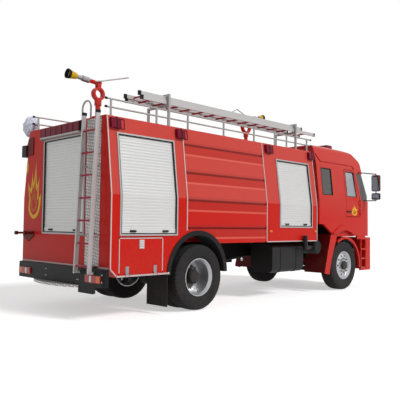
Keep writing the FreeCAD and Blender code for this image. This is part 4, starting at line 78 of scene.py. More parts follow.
# Places that the boxes don't tell
KNEE_Z, ROOF_HALF = 1.784, 1.100
TANK_FOLDS = (2.636, 2.183, 1.745, 1.307)
CAB_WAIST_Z, CAB_HALF, CAB_LEAN = 1.950, 1.240, 0.075 / 0.710
DOOR_FACE = 1.240
NUT_CIRCLE, NUT_COUNT, NUT_R = 0.148, 10, 0.016
FRONT_RIM_FACE, REAR_WEB_FACE = 1.169, 0.944
HUB_R, REAR_DISC_R = 0.118, 0.20
CAB_FLOOR, SEAT_BASE_Z, SEAT_TOP_Z = 1.460, 1.720, 1.840
LADDER_Y, RUNG_HALF = -0.815, 0.158
SEAL_W = 0.014

# Openings as (back, front, bottom, top) ahead of the rear axle, and across the tail
REAR_SHUTTER = (-1.580, -0.552, 1.240, 2.645)
FRONT_SHUTTER = (2.126, 3.138, 1.376, 2.604)
TAIL_SHUTTER = (-0.560, 0.575, 1.240, 2.675)
SIDE_LAMPS, SIDE_LAMP_L, SIDE_LAMP_Z, SIDE_LAMP_T = (-1.644, -0.383, 1.867, 3.268), 0.170, (2.735, 2.880), 0.055
TAIL_ROW, TAIL_ROW_LAMPS, TAIL_ROW_GAP, TAIL_ROW_Z = (-0.480, 0.650), 7, 0.018, (2.752, 2.892)
# Lenses of a tail lamp as (inner edge, outer edge, look)
TAIL_LENSES = ((0.80, 0.90, "lens_red"), (0.905, 0.955, "lens_white"), (0.96, 1.06, "lens_red"),
               (1.065, 1.16, "lens_amber"))
# Corners of side windows as (ahead of the rear axle, height)
QUARTER_WINDOW = ((3.592, 2.041), (3.980, 2.041), (3.980, 2.599), (3.592, 2.599))
DOOR_WINDOW = ((4.566, 2.041), (4.979, 2.041), (4.902, 2.589), (4.566, 2.589))
# Painted shade and highlight bands of one fold as (colour, bottom and top from the fold's height, softness, strength)
FOLD_BANDS = (("Hollow Shade", -0.140, 0.0, 0.004, 0.7), ("Ridge Highlight", -0.160, -0.142, 0.012, 0.7),
              ("Shadow", 0.000, 0.026, 0.014, 0.75))

SIDES = (("left", 1), ("right", -1))
# Directions out of the left side and out of the tail
OUT, BACK = (0, 1, 0), (-1, 0, 0)
# How far a face has to stand over the skin to be taken for a fitting on it
PROUD = 0.0005
SWELL_FRAMES = 20


def along(x):
    """Distance ahead of the rear axle turned into a place in the frame."""
    return x + REAR_AXLE_X


def skin(z):
    """Half width of the body at a height: upright to the knee, then leaning in to the roof."""
    if z <= KNEE_Z:
        return BODY_HALF
    return BODY_HALF + (ROOF_HALF - BODY_HALF) * (z - KNEE_Z) / (ROOF_Z - KNEE_Z)


def on_skin(x, z):
    """Point of the left skin at a distance ahead of the rear axle and a height."""
    return along(x), skin(z), z


def skin_normal(z):
    """Outward direction of the left skin at a height."""
    if z <= KNEE_Z:
        return np.array(OUT)
    lean = np.array([0, ROOF_Z - KNEE_Z, BODY_HALF - ROOF_HALF])
    return lean / np.linalg.norm(lean)


# Surfaces worked out with numpy

def block(low, high, bevel=0.0):
    """Box between two corners whose every corner point is drawn in along each axis by the bevel,
    which leaves six faces, twelve narrow edge faces and eight small corner triangles."""
    low, high = np.array(low, float), np.array(high, float)
    bevel = min(bevel, 0.49 * float((high - low).min()))
    if bevel <= 0:
        points = [[(low, high)[(i >> k) & 1][k] for k in range(3)] for i in range(8)]
        return np.array(points), [(0, 2, 3, 1), (4, 5, 7, 6), (0, 1, 5, 4), (2, 6, 7, 3), (0, 4, 6, 2), (1, 3, 7, 5)]
    points, index = [], {}
    for i in range(8):
        sign = [(i >> k) & 1 for k in range(3)]
        for axis in range(3):
            p = [(low, high)[sign[k]][k] + (0 if k == axis else (1 - 2 * sign[k]) * bevel) for k in range(3)]
            index[i, axis] = len(points)
            points.append(p)
    faces = []
    for axis in range(3):
        u, v = (axis + 1) % 3, (axis + 2) % 3
        for s in (0, 1):
            ring = [(s << axis) | (a << u) | (b << v) for a, b in ((0, 0), (1, 0), (1, 1), (0, 1))]
            face = [index[i, axis] for i in ring]
            faces.append(tuple(face if s else face[::-1]))
        for a in (0, 1):
            for b in (0, 1):
                start, end = (a << u) | (b << v), (1 << axis) | (a << u) | (b << v)
                face = (index[start, u], index[end, u], index[end, v], index[start, v])
                faces.append(face if a != b else face[::-1])
    for i in range(8):
        face = (index[i, 0], index[i, 1], index[i, 2])
        faces.append(face if bin(i).count("1") % 2 else face[::-1])
    return np.array(points), faces


def grid_faces(rows, columns, closed_rows=False, closed_columns=True):
    """Quads of a grid of points laid out row by row, closed on itself where asked."""
    i = np.arange(rows if closed_rows else rows - 1)
    j = np.arange(columns if closed_columns else columns - 1)
    a, b = (v.ravel() for v in np.meshgrid(i, j, indexing="ij"))
    c, d = (a + 1) % rows, (b + 1) % columns
    return np.stack([a * columns + b, c * columns + b, c * columns + d, a * columns + d], 1).tolist()


def lathe(profile, centre, axis, sides=32):
    """Surface of revolution of (radius, distance) points about an axis through the centre."""
    axis = np.array(axis, float) / np.linalg.norm(axis)
    side = np.cross(axis, (0, 0, 1) if abs(axis[2]) < 0.9 else (1, 0, 0))
    side /= np.linalg.norm(side)
    angles = np.linspace(0, 2 * math.pi, sides, endpoint=False)
    circle = np.outer(np.cos(angles), side) + np.outer(np.sin(angles), np.cross(axis, side))
    points = np.vstack([np.array(centre) + axis * h + circle * r for r, h in profile])
    faces = grid_faces(len(profile), sides)
    for row, flip in ((0, False), (len(profile) - 1, True)):
        if profile[row][0] > 1e-6:
            ring = [row * sides + i for i in range(sides)]
            faces.append(ring[::-1] if flip else ring)
    return points, [f[::-1] for f in faces]


def dome(radius, height, centre, axis, sides=8):
    """Low rounded head of a bolt or a rivet."""
    return lathe([(radius, 0), (0.86 * radius, 0.6 * height), (0.45 * radius, height), (0, height)],
                 centre, axis, sides)


def strip(points, width, thick, out):
    """Flat bar that follows a path: a rectangle of a width across the path and a thickness along out.
    At each point it stands square to the mean of the steps before and after."""
    points = np.array(points, float)
    steps = np.diff(points, axis=0)
    steps /= np.linalg.norm(steps, axis=1)[:, None]
    headings = np.vstack([steps[:1], steps[:-1] + steps[1:], steps[-1:]])
    rows = []
    for point, heading, normal in zip(points, headings, np.broadcast_to(np.array(out, float), points.shape)):
        across = np.cross(heading, normal)
        across *= width / 2 / np.linalg.norm(across)
        rows += [point - across, point + across, point + across + normal * thick, point - across + normal * thick]
    last = 4 * (len(points) - 1)
    return np.array(rows), grid_faces(len(points), 4) + [[3, 2, 1, 0], [last, last + 1, last + 2, last + 3]]


def plate(outline, thick):
    """Flat plate from a closed outline in space, thickened along its normal, faces filled by triangles."""
    outline = np.array(outline, float)
    normal = np.cross(outline, np.roll(outline, -1, 0)).sum(0)
    normal /= np.linalg.norm(normal)
    n = len(outline)
    checked = []
    for a, b, c in tessellate_polygon([[Vector(p) for p in outline]]):
        turn = np.cross(outline[b] - outline[a], outline[c] - outline[a]).dot(normal)
        checked.append((a, b, c) if turn > 0 else (a, c, b))
    faces = [(a + n, b + n, c + n) for a, b, c in checked] + [(a, c, b) for a, b, c in checked]
    faces += [(i, (i + 1) % n, (i + 1) % n + n, i + n) for i in range(n)]
    return np.vstack([outline, outline + normal * thick]), faces


def ball(rows, columns, first, last):
    """Grid of directions over a ball, from one angle off the upper pole to another and once round,
    after the angles down and the angles round."""
    down = np.linspace(first, last, rows)[:, None]
    turn = np.linspace(0, 2 * math.pi, columns, endpoint=False)[None, :]
    return down, turn, np.stack([np.sin(down) * np.cos(turn), np.sin(down) * np.sin(turn),
                                 np.cos(down) * np.ones_like(turn)], 2)


def pad(low, high, power=0.28, rows=28, columns=56):
    """Crowned closed cushion: a ball whose directions are sharpened by a power,
    which fills a box with round edges, and whose faces above and below sink toward their rims."""
    low, high = np.array(low, float), np.array(high, float)
    unit = ball(rows, columns, 0.02, math.pi - 0.02)[2]
    shaped = np.sign(unit) * np.abs(unit) ** power
    shaped[:, :, 2] *= 1 - 0.16 * (1 - (1 - shaped[:, :, 0] ** 2) * (1 - shaped[:, :, 1] ** 2))
    points = (low + high) / 2 + shaped * (high - low) / 2
    caps = [list(range(columns)), [(rows - 1) * columns + i for i in range(columns)][::-1]]
    return points.reshape(-1, 3), grid_faces(rows, columns) + caps


def flipped(shape):
    """The same surface on the other side of the engine."""
    points, faces = shape
    return points * (1, -1, 1), [tuple(f[::-1]) for f in faces]


def both(shapes):
    """Shapes of the left side and their twins on the right."""
    return shapes + [flipped(s) for s in shapes]


def on_side(shapes, sign):
    """Shapes of the left side, carried over to the right side where the sign is negative."""
    return shapes if sign > 0 else [flipped(s) for s in shapes]


def place(name, groups, body, angle=35.0):
    """One object out of groups of shapes, one material to each group, riding on a body.
    Faces are smooth wherever neighbours meet at less than the angle."""
    points, faces, marks, offset = [], [], [], 0
    mesh = bpy.data.meshes.new(name)
    for index, (look, shapes) in enumerate(groups):
        mesh.materials.append(material(look))
        for shape_points, shape_faces in shapes:
            points.append(shape_points)
            faces += [[i + offset for i in f] for f in shape_faces]
            marks += [index] * len(shape_faces)
            offset += len(shape_points)
    mesh.from_pydata(np.vstack(points).tolist(), [], faces)
    mesh.polygons.foreach_set("material_index", marks)
    mesh.polygons.foreach_set("use_smooth", [True] * len(mesh.polygons))
    mesh.set_sharp_from_angle(angle=math.radians(angle))
    mesh.validate()
    item = bpy.data.objects.new(name, mesh)
    bpy.context.scene.collection.objects.link(item)
    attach(item, body)
    return item


# Shader groups and materials

def feed(node, values):
    """Inputs of a node by name or number: sockets are joined to them, numbers and colours are set."""
    for label, value in values.items():
        if isinstance(value, bpy.types.NodeSocket):
            node.id_data.links.new(value, node.inputs[label])
        else:
            node.inputs[label].default_value = value
    return node


def shader_node(tree, kind, values):
    """New shader node of a kind, fed with values."""
    return feed(tree.nodes.new("ShaderNode" + kind), values)


def group_node(tree, name, values):
    """New node that holds one of the shader groups below, fed with values."""
    node = tree.nodes.new("ShaderNodeGroup")
    node.node_tree = bpy.data.node_groups[name]
    return feed(node, values)


def math_node(tree, operation, first, second=0.0):
    """Math node fed by sockets or plain numbers."""
    node = shader_node(tree, "Math", {0: first, 1: second})
    node.operation = operation
    return node.outputs[0]


def product(tree, first, second):
    """Two values multiplied."""
    return math_node(tree, "MULTIPLY", first, second)


def ranged(tree, value, low, high, to_low=0.0, to_high=1.0):
    """Value carried from one range to another and held at its ends."""
    return shader_node(tree, "MapRange", {"Value": value, "From Min": low, "From Max": high, "To Min": to_low,
                                          "To Max": to_high}).outputs[0]


def blended(tree, factor, first, second):
    """Colour between two, each a socket or plain numbers."""
    mix = tree.nodes.new("ShaderNodeMix")
    mix.data_type = "RGBA"
    return feed(mix, {"Factor": factor, "A": first, "B": second}).outputs["Result"]


def noise_node(tree, vector, scale, detail=4.0):
    """Noise value at a scale given as a socket or a plain number."""
    return shader_node(tree, "TexNoise", {"Vector": vector, "Scale": scale, "Detail": detail}).outputs["Fac"]


def own_place(tree):
    """Place of a point in its object's own coordinates."""
    return tree.nodes.new("ShaderNodeTexCoord").outputs["Object"]


def own_axes(tree):
    """The same place as its X, Y and Z."""
    return shader_node(tree, "SeparateXYZ", {0: own_place(tree)}).outputs


def new_group(name, inputs, *outputs):
    """Shader node group with its sources and its result. A number makes a float input, and a colour or
    nothing a colour input. Of the outputs, only the one named Color is a colour."""
    group = bpy.data.node_groups.new(name, "ShaderNodeTree")
    for label, value in inputs.items():
        kind = "NodeSocketFloat" if isinstance(value, float) else "NodeSocketColor"
        item = group.interface.new_socket(label, in_out="INPUT", socket_type=kind)
        if value is not None:
            item.default_value = value
    for label in outputs:
        kind = "NodeSocketColor" if label == "Color" else "NodeSocketFloat"
        group.interface.new_socket(label, in_out="OUTPUT", socket_type=kind)
    return group, group.nodes.new("NodeGroupInput").outputs, group.nodes.new("NodeGroupOutput")


def grime_group():
    """Road dirt and dust: two noises in the object's own coordinates and thin runs that hang down,
    all held back above the skirts."""
    group, source, result = new_group(
        "Road Grime", {"Clean": None, "Dirt": (0.20, 0.17, 0.14, 1), "Amount": 0.3, "Scale": 3.0}, "Color", "Mask")
    spot, scale = own_place(group), source["Scale"]
    low = ranged(group, own_axes(group)["Z"], 0.3, 1.5, 1.0, 0.15)
    broad = ranged(group, noise_node(group, spot, scale), 0.35, 0.75)
    fine = ranged(group, noise_node(group, spot, product(group, scale, 7.0), 6.0), 0.35, 0.75)
    stretched = shader_node(group, "Mapping", {"Vector": spot, "Scale": (26.0, 26.0, 0.9)}).outputs[0]
    runs = ranged(group, noise_node(group, stretched, 1.0, 3.0), 0.56, 0.78, 0.0, 0.5)
    patch = math_node(group, "MAXIMUM", product(group, math_node(group, "ADD", broad, fine), 0.5), runs)
    mask = product(group, product(group, patch, low), source["Amount"])
    feed(result, {"Color": blended(group, mask, source["Clean"], source["Dirt"]), "Mask": mask})


def variation_group():
    """Slow drift of a colour over a surface, lighter and darker by a few parts in a hundred."""
    group, source, result = new_group("Colour Drift", {"Color": None, "Amount": 0.06, "Scale": 1.7}, "Color")
    drift = math_node(group, "SUBTRACT", noise_node(group, own_place(group), source["Scale"], 2.0), 0.5)
    factor = math_node(group, "ADD", product(group, drift, source["Amount"]), 1.0)
    scaled = group.nodes.new("ShaderNodeVectorMath")
    scaled.operation = "SCALE"
    feed(result, {"Color": feed(scaled, {0: source["Color"], "Scale": factor}).outputs[0]})


def sky_sheen_group():
    """Painted reflection of the sky: paint that pales above the knee of the body, where it leans back.
    The tail panel, which stands upright, stays as deep as below."""
    group, source, result = new_group(
        "Painted Sky Sheen", {"Deep": None, "Pale": None, "Height": KNEE_Z, "Softness": 0.02}, "Color")
    axes = own_axes(group)
    above = math_node(group, "SUBTRACT", axes["Z"], source["Height"])
    step = ranged(group, math_node(group, "DIVIDE", above, source["Softness"]), -0.5, 0.5)
    ahead = ranged(group, axes["X"], BODY_BACK + 0.0005, BODY_BACK + 0.002)
    feed(result, {"Color": blended(group, product(group, step, ahead), source["Deep"], source["Pale"])})


def fold_shading_group():
    """Painted shade and highlight on the tank's folded side panels by height: a painted shadow line in each fold,
    painted shade in the hollow under it and a painted highlight on the ridge where the panel comes out again."""
    group, source, result = new_group(
        "Painted Fold Shading", {"Color": None, "Shadow": (0.15, 0.004, 0.003, 1), "Hollow Shade": (0.50, 0.022, 0.014, 1),
                        "Ridge Highlight": (0.78, 0.15, 0.11, 1)}, "Color")
    height, colour = own_axes(group)["Z"], source["Color"]
    for fold in TANK_FOLDS:
        for label, low, high, soft, most in FOLD_BANDS:
            rise = ranged(group, height, fold + low - soft, fold + low, 0.0, most)
            fall = ranged(group, height, fold + high, fold + high + soft, 1.0, 0.0)
            colour = blended(group, product(group, rise, fall), colour, source[label])
    feed(result, {"Color": colour})


def checker_group():
    """Raised bars of checker plate: two sets of short slanted bars that alternate over the surface."""
    group, source, result = new_group("Checker Plate", {"Pitch": 8.0}, "Height")
    heights = []
    for turn, shift in ((0.785, (0, 0, 0)), (-0.785, (0.010, 0.015, 0.010))):
        slanted = shader_node(group, "Mapping", {"Vector": own_place(group), "Rotation": (turn, turn, turn),
                                                 "Location": shift})
        wave = shader_node(group, "TexWave", {"Vector": slanted.outputs[0], "Scale": source["Pitch"]})
        heights.append(ranged(group, wave.outputs["Fac"], 0.10, 0.45))
    feed(result, {"Height": product(group, *heights)})


def grain_group():
    """Fine even roughness of a cast or moulded surface."""
    group, source, result = new_group("Fine Grain", {"Scale": 120.0}, "Height")
    feed(result, {"Height": noise_node(group, own_place(group), source["Scale"], 5.0)})


def slat_group():
    """Fine ribs that run across each slat of a roller shutter, as rounded ridges up the door."""
    group, source, result = new_group("Slat Ribs", {"Pitch": 0.0225}, "Height")
    turns = math_node(group, "DIVIDE", own_axes(group)["Z"], source["Pitch"])
    wave = math_node(group, "SINE", product(group, turns, 2 * math.pi))
    feed(result, {"Height": ranged(group, wave, -1.0, 0.1)})


def weave_group():
    """Plain weave: two crossed sets of rounded threads, one over the other by turns."""
    group, source, result = new_group("Plain Weave", {"Threads": 420.0}, "Height")
    axes, waves = own_axes(group), []
    for axis in ("X", "Y"):
        slant = math_node(group, "ADD", axes[axis], product(group, axes["Z"], 0.7))
        waves.append(math_node(group, "SINE", product(group, slant, source["Threads"])))
    feed(result, {"Height": product(group, *waves)})


# Name: (colour, metallic, roughness, specular level, coat, grime amount, bump group, bump distance)
LOOKS = {
    "red": ("red", 0.0, 0.30, 0.14, 0.0, 0.30, None, 0),
    "panel_red": ("panel_red", 0.0, 0.32, 0.12, 0.0, 0.12, None, 0),
    "tank_red": ("panel_red", 0.0, 0.30, 0.16, 0.0, 0.12, None, 0),
    "dark_red": ((0.14, 0.006, 0.006), 0.0, 0.38, 0.10, 0.0, 0.35, None, 0),
    "crimson": ((0.36, 0.008, 0.035), 0.0, 0.42, 0.2, 0.0, 0.12, None, 0),
    "black": ((0.007, 0.008, 0.009), 0.0, 0.45, 0.14, 0.0, 0.08, "Fine Grain", 0.0006),
    # The chassis and the drum grey are darker than their paint: painted shade of the underbody
    "chassis": ((0.006, 0.006, 0.007), 0.0, 0.60, 0.08, 0.0, 0.08, "Fine Grain", 0.001),
    "casting": ((0.012, 0.012, 0.013), 0.1, 0.62, 0.15, 0.0, 0.25, "Fine Grain", 0.002),
    "shaded_drum_grey": ((0.012, 0.012, 0.013), 0.0, 0.50, 0.18, 0.0, 0.08, "Fine Grain", 0.001),
    "rim": ((0.50, 0.51, 0.53), 0.75, 0.34, 0.4, 0.0, 0.40, "Fine Grain", 0.0004),
    "hub": ((0.022, 0.021, 0.021), 0.3, 0.55, 0.25, 0.0, 0.4, "Fine Grain", 0.001),
    "rear_disc": ((0.085, 0.080, 0.078), 0.5, 0.50, 0.3, 0.0, 0.5, "Fine Grain", 0.001),
    "tyre": ((0.014, 0.014, 0.015), 0.0, 0.78, 0.22, 0.0, 0.22, "Fine Grain", 0.001),
    "rubber": ((0.010, 0.010, 0.011), 0.0, 0.62, 0.15, 0.0, 0.2, "Fine Grain", 0.0005),
    "aluminium": ((0.52, 0.505, 0.50), 0.40, 0.38, 0.4, 0.0, 0.15, "Fine Grain", 0.0003),
    "rail": ((0.36, 0.345, 0.345), 0.55, 0.40, 0.4, 0.0, 0.15, "Fine Grain", 0.0003),
    "pale_trim": ((0.60, 0.49, 0.48), 0.20, 0.42, 0.3, 0.0, 0.10, "Fine Grain", 0.0003),
    "frame_grey": ((0.44, 0.42, 0.42), 0.30, 0.42, 0.3, 0.0, 0.10, "Fine Grain", 0.0003),
    "shutter": ((0.66, 0.66, 0.65), 0.35, 0.42, 0.4, 0.0, 0.10, "Slat Ribs", 0.0018),
    "checker": ((0.72, 0.71, 0.70), 0.35, 0.38, 0.5, 0.0, 0.12, "Checker Plate", 0.006),
    "steel": ((0.30, 0.30, 0.31), 0.85, 0.34, 0.5, 0.0, 0.3, "Fine Grain", 0.0003),
    "lens_maroon": ((0.19, 0.004, 0.024), 0.0, 0.30, 0.12, 0.0, 0.0, "Slat Ribs", 0.0008),
    "lens_red": ((0.46, 0.008, 0.008), 0.0, 0.18, 0.4, 0.2, 0.0, "Slat Ribs", 0.0008),
    "lens_amber": ((0.75, 0.14, 0.008), 0.0, 0.18, 0.4, 0.2, 0.0, "Slat Ribs", 0.0008),
    "lens_white": ((0.78, 0.78, 0.80), 0.0, 0.12, 0.5, 0.5, 0.0, "Slat Ribs", 0.0008),
    "cloth_seat": ((0.055, 0.060, 0.072), 0.0, 0.88, 0.3, 0.0, 0.0, "Plain Weave", 0.0015),
    "plastic": ((0.030, 0.031, 0.034), 0.0, 0.55, 0.3, 0.0, 0.05, "Fine Grain", 0.0006),
    "yellow": ((0.62, 0.38, 0.012), 0.0, 0.36, 0.25, 0.0, 0.12, None, 0),
    "flame_yellow": ("flame_yellow", 0.0, 0.38, 0.15, 0.0, 0.1, None, 0),
    "flame_orange": ("flame_orange", 0.0, 0.38, 0.15, 0.0, 0.1, None, 0),
    "wrap": ((0.62, 0.66, 0.78), 0.0, 0.34, 0.6, 0.2, 0.0, "Plain Weave", 0.0006),
    "mirror": ((0.34, 0.35, 0.37), 1.0, 0.03, 0.5, 0.0, 0.0, None, 0),
}
# Painted shade: colour that the hollows of a bump group take on, darker than the raised bars
HOLLOW_SHADES = {"Checker Plate": (0.34, 0.33, 0.33, 1)}
# Painted sky reflection: height where the paint pales, how softly, and how much of the full paling it takes
SKY_SHEENS = {"red": (1.85, 0.60, 0.45), "panel_red": (KNEE_Z, 0.01, 0.85), "tank_red": (TANK_FOLDS[2], 0.008, 0.80)}
DUSTY_ROUGHNESS = 0.85


def new_material(name):
    """New material with its node tree and its shader."""
    made = bpy.data.materials.new(name)
    made.use_nodes = True
    return made, made.node_tree, made.node_tree.nodes["Principled BSDF"]


def material(name):
    """Material by name, built from its row in the table when first asked for."""
    found = bpy.data.materials.get(name)
    if found:
        return found
    colour, metallic, roughness, specular, coat, grime, bump, distance = LOOKS[name]
    paint = bpy.context.scene.engine_paint
    if isinstance(colour, str):
        colour = getattr(paint, colour)
    made, tree, shader = new_material(name)
    clean = group_node(tree, "Colour Drift", {"Color": (*colour, 1)})
    # Painted sky reflection: the paint pales above a height
    if name in SKY_SHEENS:
        height, softness, share = SKY_SHEENS[name]
        pale = [a + share * (b - a) for a, b in zip(colour, paint.sky_sheen_red)]
        sheen = group_node(tree, "Painted Sky Sheen", {"Deep": (*colour, 1), "Pale": (*pale, 1), "Height": height,
                                                 "Softness": softness})
        feed(clean, {"Color": sheen.outputs["Color"]})
    # Painted shade and highlight at the tank's folds
    if name == "tank_red":
        clean = group_node(tree, "Painted Fold Shading", {"Color": clean.outputs["Color"]})
    dirt = group_node(tree, "Road Grime", {"Clean": clean.outputs["Color"], "Amount": grime * paint.grime})
    finish = dirt.outputs["Color"]
    if bump:
        relief = group_node(tree, bump, {}).outputs["Height"]
        feed(shader, {"Normal": shader_node(tree, "Bump", {"Distance": distance, "Height": relief}).outputs[0]})
        # Painted shade in the hollows, so that the relief shows
        if bump in HOLLOW_SHADES:
            finish = blended(tree, relief, HOLLOW_SHADES[bump], finish)
    feed(shader, {"Base Color": finish, "Metallic": metallic, "Specular IOR Level": specular, "Coat Weight": coat,
                  "Coat Roughness": 0.08,
                  "Roughness": ranged(tree, dirt.outputs["Mask"], 0, 1, roughness, DUSTY_ROUGHNESS)})
    made.diffuse_color = (*colour, 1)
    return made


def glass_material(name, tint, clear):
    """Tinted window glass with a faint film of dust, its clear share let through."""
    made, tree, shader = new_material(name)
    dirt = group_node(tree, "Road Grime", {"Clean": (*tint, 1), "Amount": 0.25})
    feed(shader, {"Base Color": dirt.outputs["Color"], "Transmission Weight": clear, "IOR": 1.45,
                  "Roughness": ranged(tree, dirt.outputs["Mask"], 0, 1, 0.03, 0.3)})
    return made


# Settings

class PaintSettings(bpy.types.PropertyGroup):
    """Colours of the paint and the artwork, and how dirty the engine is."""
    red: FloatVectorProperty(name="Cab Red", description="Paint of the cab, skirts and lower panels",
                             default=(0.60, 0.010, 0.004), subtype="COLOR", min=0, max=1)
    panel_red: FloatVectorProperty(name="Panel Red", description="Paint of the body's modules",
                                   default=(0.60, 0.011, 0.005), subtype="COLOR", min=0, max=1)
    # Paint that the upper panels pale toward, a painted reflection of the sky
    sky_sheen_red: FloatVectorProperty(name="Sky Sheen Red", description="Paint above the knee, paled by the sky",
                                      default=(0.60, 0.075, 0.058), subtype="COLOR", min=0, max=1)
    flame_yellow: FloatVectorProperty(name="Flame Yellow", description="Outer colour of the painted flames",
                                      default=(0.82, 0.50, 0.02), subtype="COLOR", min=0, max=1)
    flame_orange: FloatVectorProperty(name="Flame Orange", description="Inner colour of the painted flames",
                                      default=(0.55, 0.13, 0.01), subtype="COLOR", min=0, max=1)
    grime: FloatProperty(name="Grime", description="Share of the full road dirt", default=0.6, min=0, max=1,
                         subtype="FACTOR")


class TyreSettings(bpy.types.PropertyGroup):
    """Tread pattern of the tyres."""
    pitches: IntProperty(name="Tread Pitches", description="Shoulder blocks round one tyre", default=54, min=12)
    depth: FloatProperty(name="Tread Depth", description="Depth of the main grooves", default=0.012, unit="LENGTH")
    groove: FloatProperty(name="Groove Width", description="Width of the main grooves", default=0.010, unit="LENGTH")


class TrimSettings(bpy.types.PropertyGroup):
    """Strips and frames fixed to the body."""
    width: FloatProperty(name="Trim Width", description="Width of the edge strips", default=0.018, unit="LENGTH")
    thick: FloatProperty(name="Trim Thickness", description="Height of the strips over the skin", default=0.006,
                         unit="LENGTH")
    frame: FloatProperty(name="Frame Width", description="Width of the shutter frames", default=0.024,
                         unit="LENGTH")


class SeatSettings(bpy.types.PropertyGroup):
    """Padding of the cab seats."""
    voxel: FloatProperty(name="Remesh Size", description="Grain of the mesh that the padding swells on",
                         default=0.012, unit="LENGTH")
    pressure: FloatProperty(name="Pressure", description="Pressure inside a cushion", default=4.0, min=0)
    reach: FloatProperty(name="Swell Limit", description="Farthest that a point of a cushion may move",
                         default=0.022, unit="LENGTH")


class StudioSettings(bpy.types.PropertyGroup):
    """Floor, lights and world of the studio."""
    floor: FloatVectorProperty(name="Floor Colour", description="Colour of the studio floor",
                               default=(0.82, 0.82, 0.82), subtype="COLOR", min=0, max=1)
    glow: FloatProperty(name="Floor Glow", description="White that the camera sees the floor with", default=0.50,
                        min=0)
    key: FloatProperty(name="Key Light", description="Strength of the main lamp", default=2.05, min=0)
    fill: FloatProperty(name="World Light", description="Strength of the light from all round", default=0.28, min=0)


# Builders

def tyre_surface(x, middle, settings, spin=0.0):
    """Truck tyre: a half profile from bead to crown mirrored about the middle plane and turned about the axle.
    The crown falls away with the cube of the distance from the middle plane. It sinks by the tread depth in
    four wavy grooves, and less in a ring of short shoulder slots and in fine cuts across the ribs."""
    crown_half, shoulder, tread_r, per_pitch = 0.118, 0.088, 0.512, 8
    half = np.array([(0.098, 0.2755), (0.112, 0.296), (0.1175, 0.303), (0.128, 0.310), (0.137, 0.345), (0.144, 0.395),
                     (0.1455, 0.430), (0.143, 0.462), (0.138, 0.490), (0.134, 0.505), (0.127, 0.516)])
    crown = np.array([(y, TYRE_R - 0.0018 - 5.4 * abs(y) ** 3) for y in np.linspace(crown_half, -crown_half, 41)])
    profile = np.vstack([half, crown, half[::-1] * (-1, 1)])
    profile[:, 0] *= min(1.0, TYRE_W / 2 / (half[:, 0].max() + 0.001))
    steps = settings.pitches * per_pitch
    angles = np.linspace(0, 2 * math.pi, steps, endpoint=False)[:, None] + spin
    beat = np.arange(steps)[:, None] % per_pitch
    y, r = (np.broadcast_to(column, (steps, len(profile))).copy() for column in profile.T)
    wave = 0.0045 * np.sin(angles * settings.pitches)
    tread = r > tread_r
    sunk = np.zeros_like(r, bool)
    for centre in (-0.070, -0.024, 0.024, 0.070):
        sunk |= np.abs(y + wave - centre) < settings.groove / 2
    slot = tread & (beat < 2) & (np.abs(y) > shoulder)
    cut = tread & (beat == 0) & (np.abs(y) < shoulder)
    r = r - np.where(sunk & tread, settings.depth, 0) - np.where(slot & ~sunk, settings.depth * 0.7, 0)
    r = r - np.where(cut & ~sunk, 0.003, 0)
    ridge = (beat % 4 < 2) & (r > 0.47) & (r < 0.50)
    y = y - np.where(ridge, np.sign(y) * 0.002, 0)
    points = np.stack([x + r * np.cos(angles), middle + y, TYRE_R + r * np.sin(angles)], 2)
    return points.reshape(-1, 3), grid_faces(steps, len(profile), closed_rows=True, closed_columns=False)


def build_tyres(settings):
    """Treaded tyres in place of the plain ones."""
    for side, sign in SIDES:
        low, high = span("front_tyre_" + side)
        surface = tyre_surface(FRONT_AXLE_X, float(low[1] + high[1]) / 2, settings)
        item = place("tread_front_" + side, [("tyre", [surface])], "front_wheel_" + side, 50)
        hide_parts("front_tyre_" + side)
        low, high = np.sort(np.abs(np.array(span("rear_tyres_" + side))[:, 1]))
        centres = [sign * (high - TYRE_W / 2), sign * (low + TYRE_W / 2)]
        surfaces = [tyre_surface(REAR_AXLE_X, float(c), settings, 0.05 * i) for i, c in enumerate(centres)]
        item = place("tread_rear_" + side, [("tyre", surfaces)], "rear_wheels_" + side, 50)
        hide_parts("rear_tyres_" + side)


def nut_ring(centre, sign, depth):
    """Wheel nuts: six-sided studs evenly round a circle, each on a round washer."""
    washer, stud, shapes = NUT_R * 1.35, NUT_R * 0.55, []
    for i in range(NUT_COUNT):
        a = 2 * math.pi * (i + 0.5) / NUT_COUNT
        p = np.array(centre) + (NUT_CIRCLE * math.cos(a), 0, NUT_CIRCLE * math.sin(a))
        shapes.append(lathe([(washer, -0.004), (washer, 0.004)], p, (0, sign, 0), 16))
        shapes.append(lathe([(NUT_R, 0.004), (NUT_R, depth), (stud, depth), (stud, depth + 0.012),
                             (0, depth + 0.013)], p, (0, sign, 0), 6))
    return shapes


def build_nuts():
    """Nuts on the four wheel sets."""
    for side, sign in SIDES:
        front = nut_ring((FRONT_AXLE_X, sign * FRONT_RIM_FACE, TYRE_R), sign, 0.026)
        place("nuts_front_" + side, [("steel", front)], "front_wheel_" + side)
        rear = nut_ring((REAR_AXLE_X, sign * REAR_WEB_FACE, TYRE_R), sign, 0.030)
        place("nuts_rear_" + side, [("steel", rear)], "rear_wheels_" + side)


def frame_strips(opening, width, thick, grow=0.0):
    """Frame of flat bars round a side opening, each bar laid on the skin it covers."""
    x0, x1, z0, z1 = opening
    x0, x1, z0, z1 = x0 - grow, x1 + grow, z0 - grow, z1 + grow
    h = width / 2
    bars = []
    for x in (x0 - h, x1 + h):
        knee = on_skin(x, KNEE_Z)
        bars.append(strip([on_skin(x, z0 - width), knee], width, thick, OUT))
        bars.append(strip([knee, (knee[0], skin(z1), z1 + width)], width, thick, skin_normal(z1)))
    for z in (z0 - h, z1 + h):
        bars.append(strip([on_skin(x0, z), on_skin(x1, z)], width, thick, skin_normal(z)))
    return bars


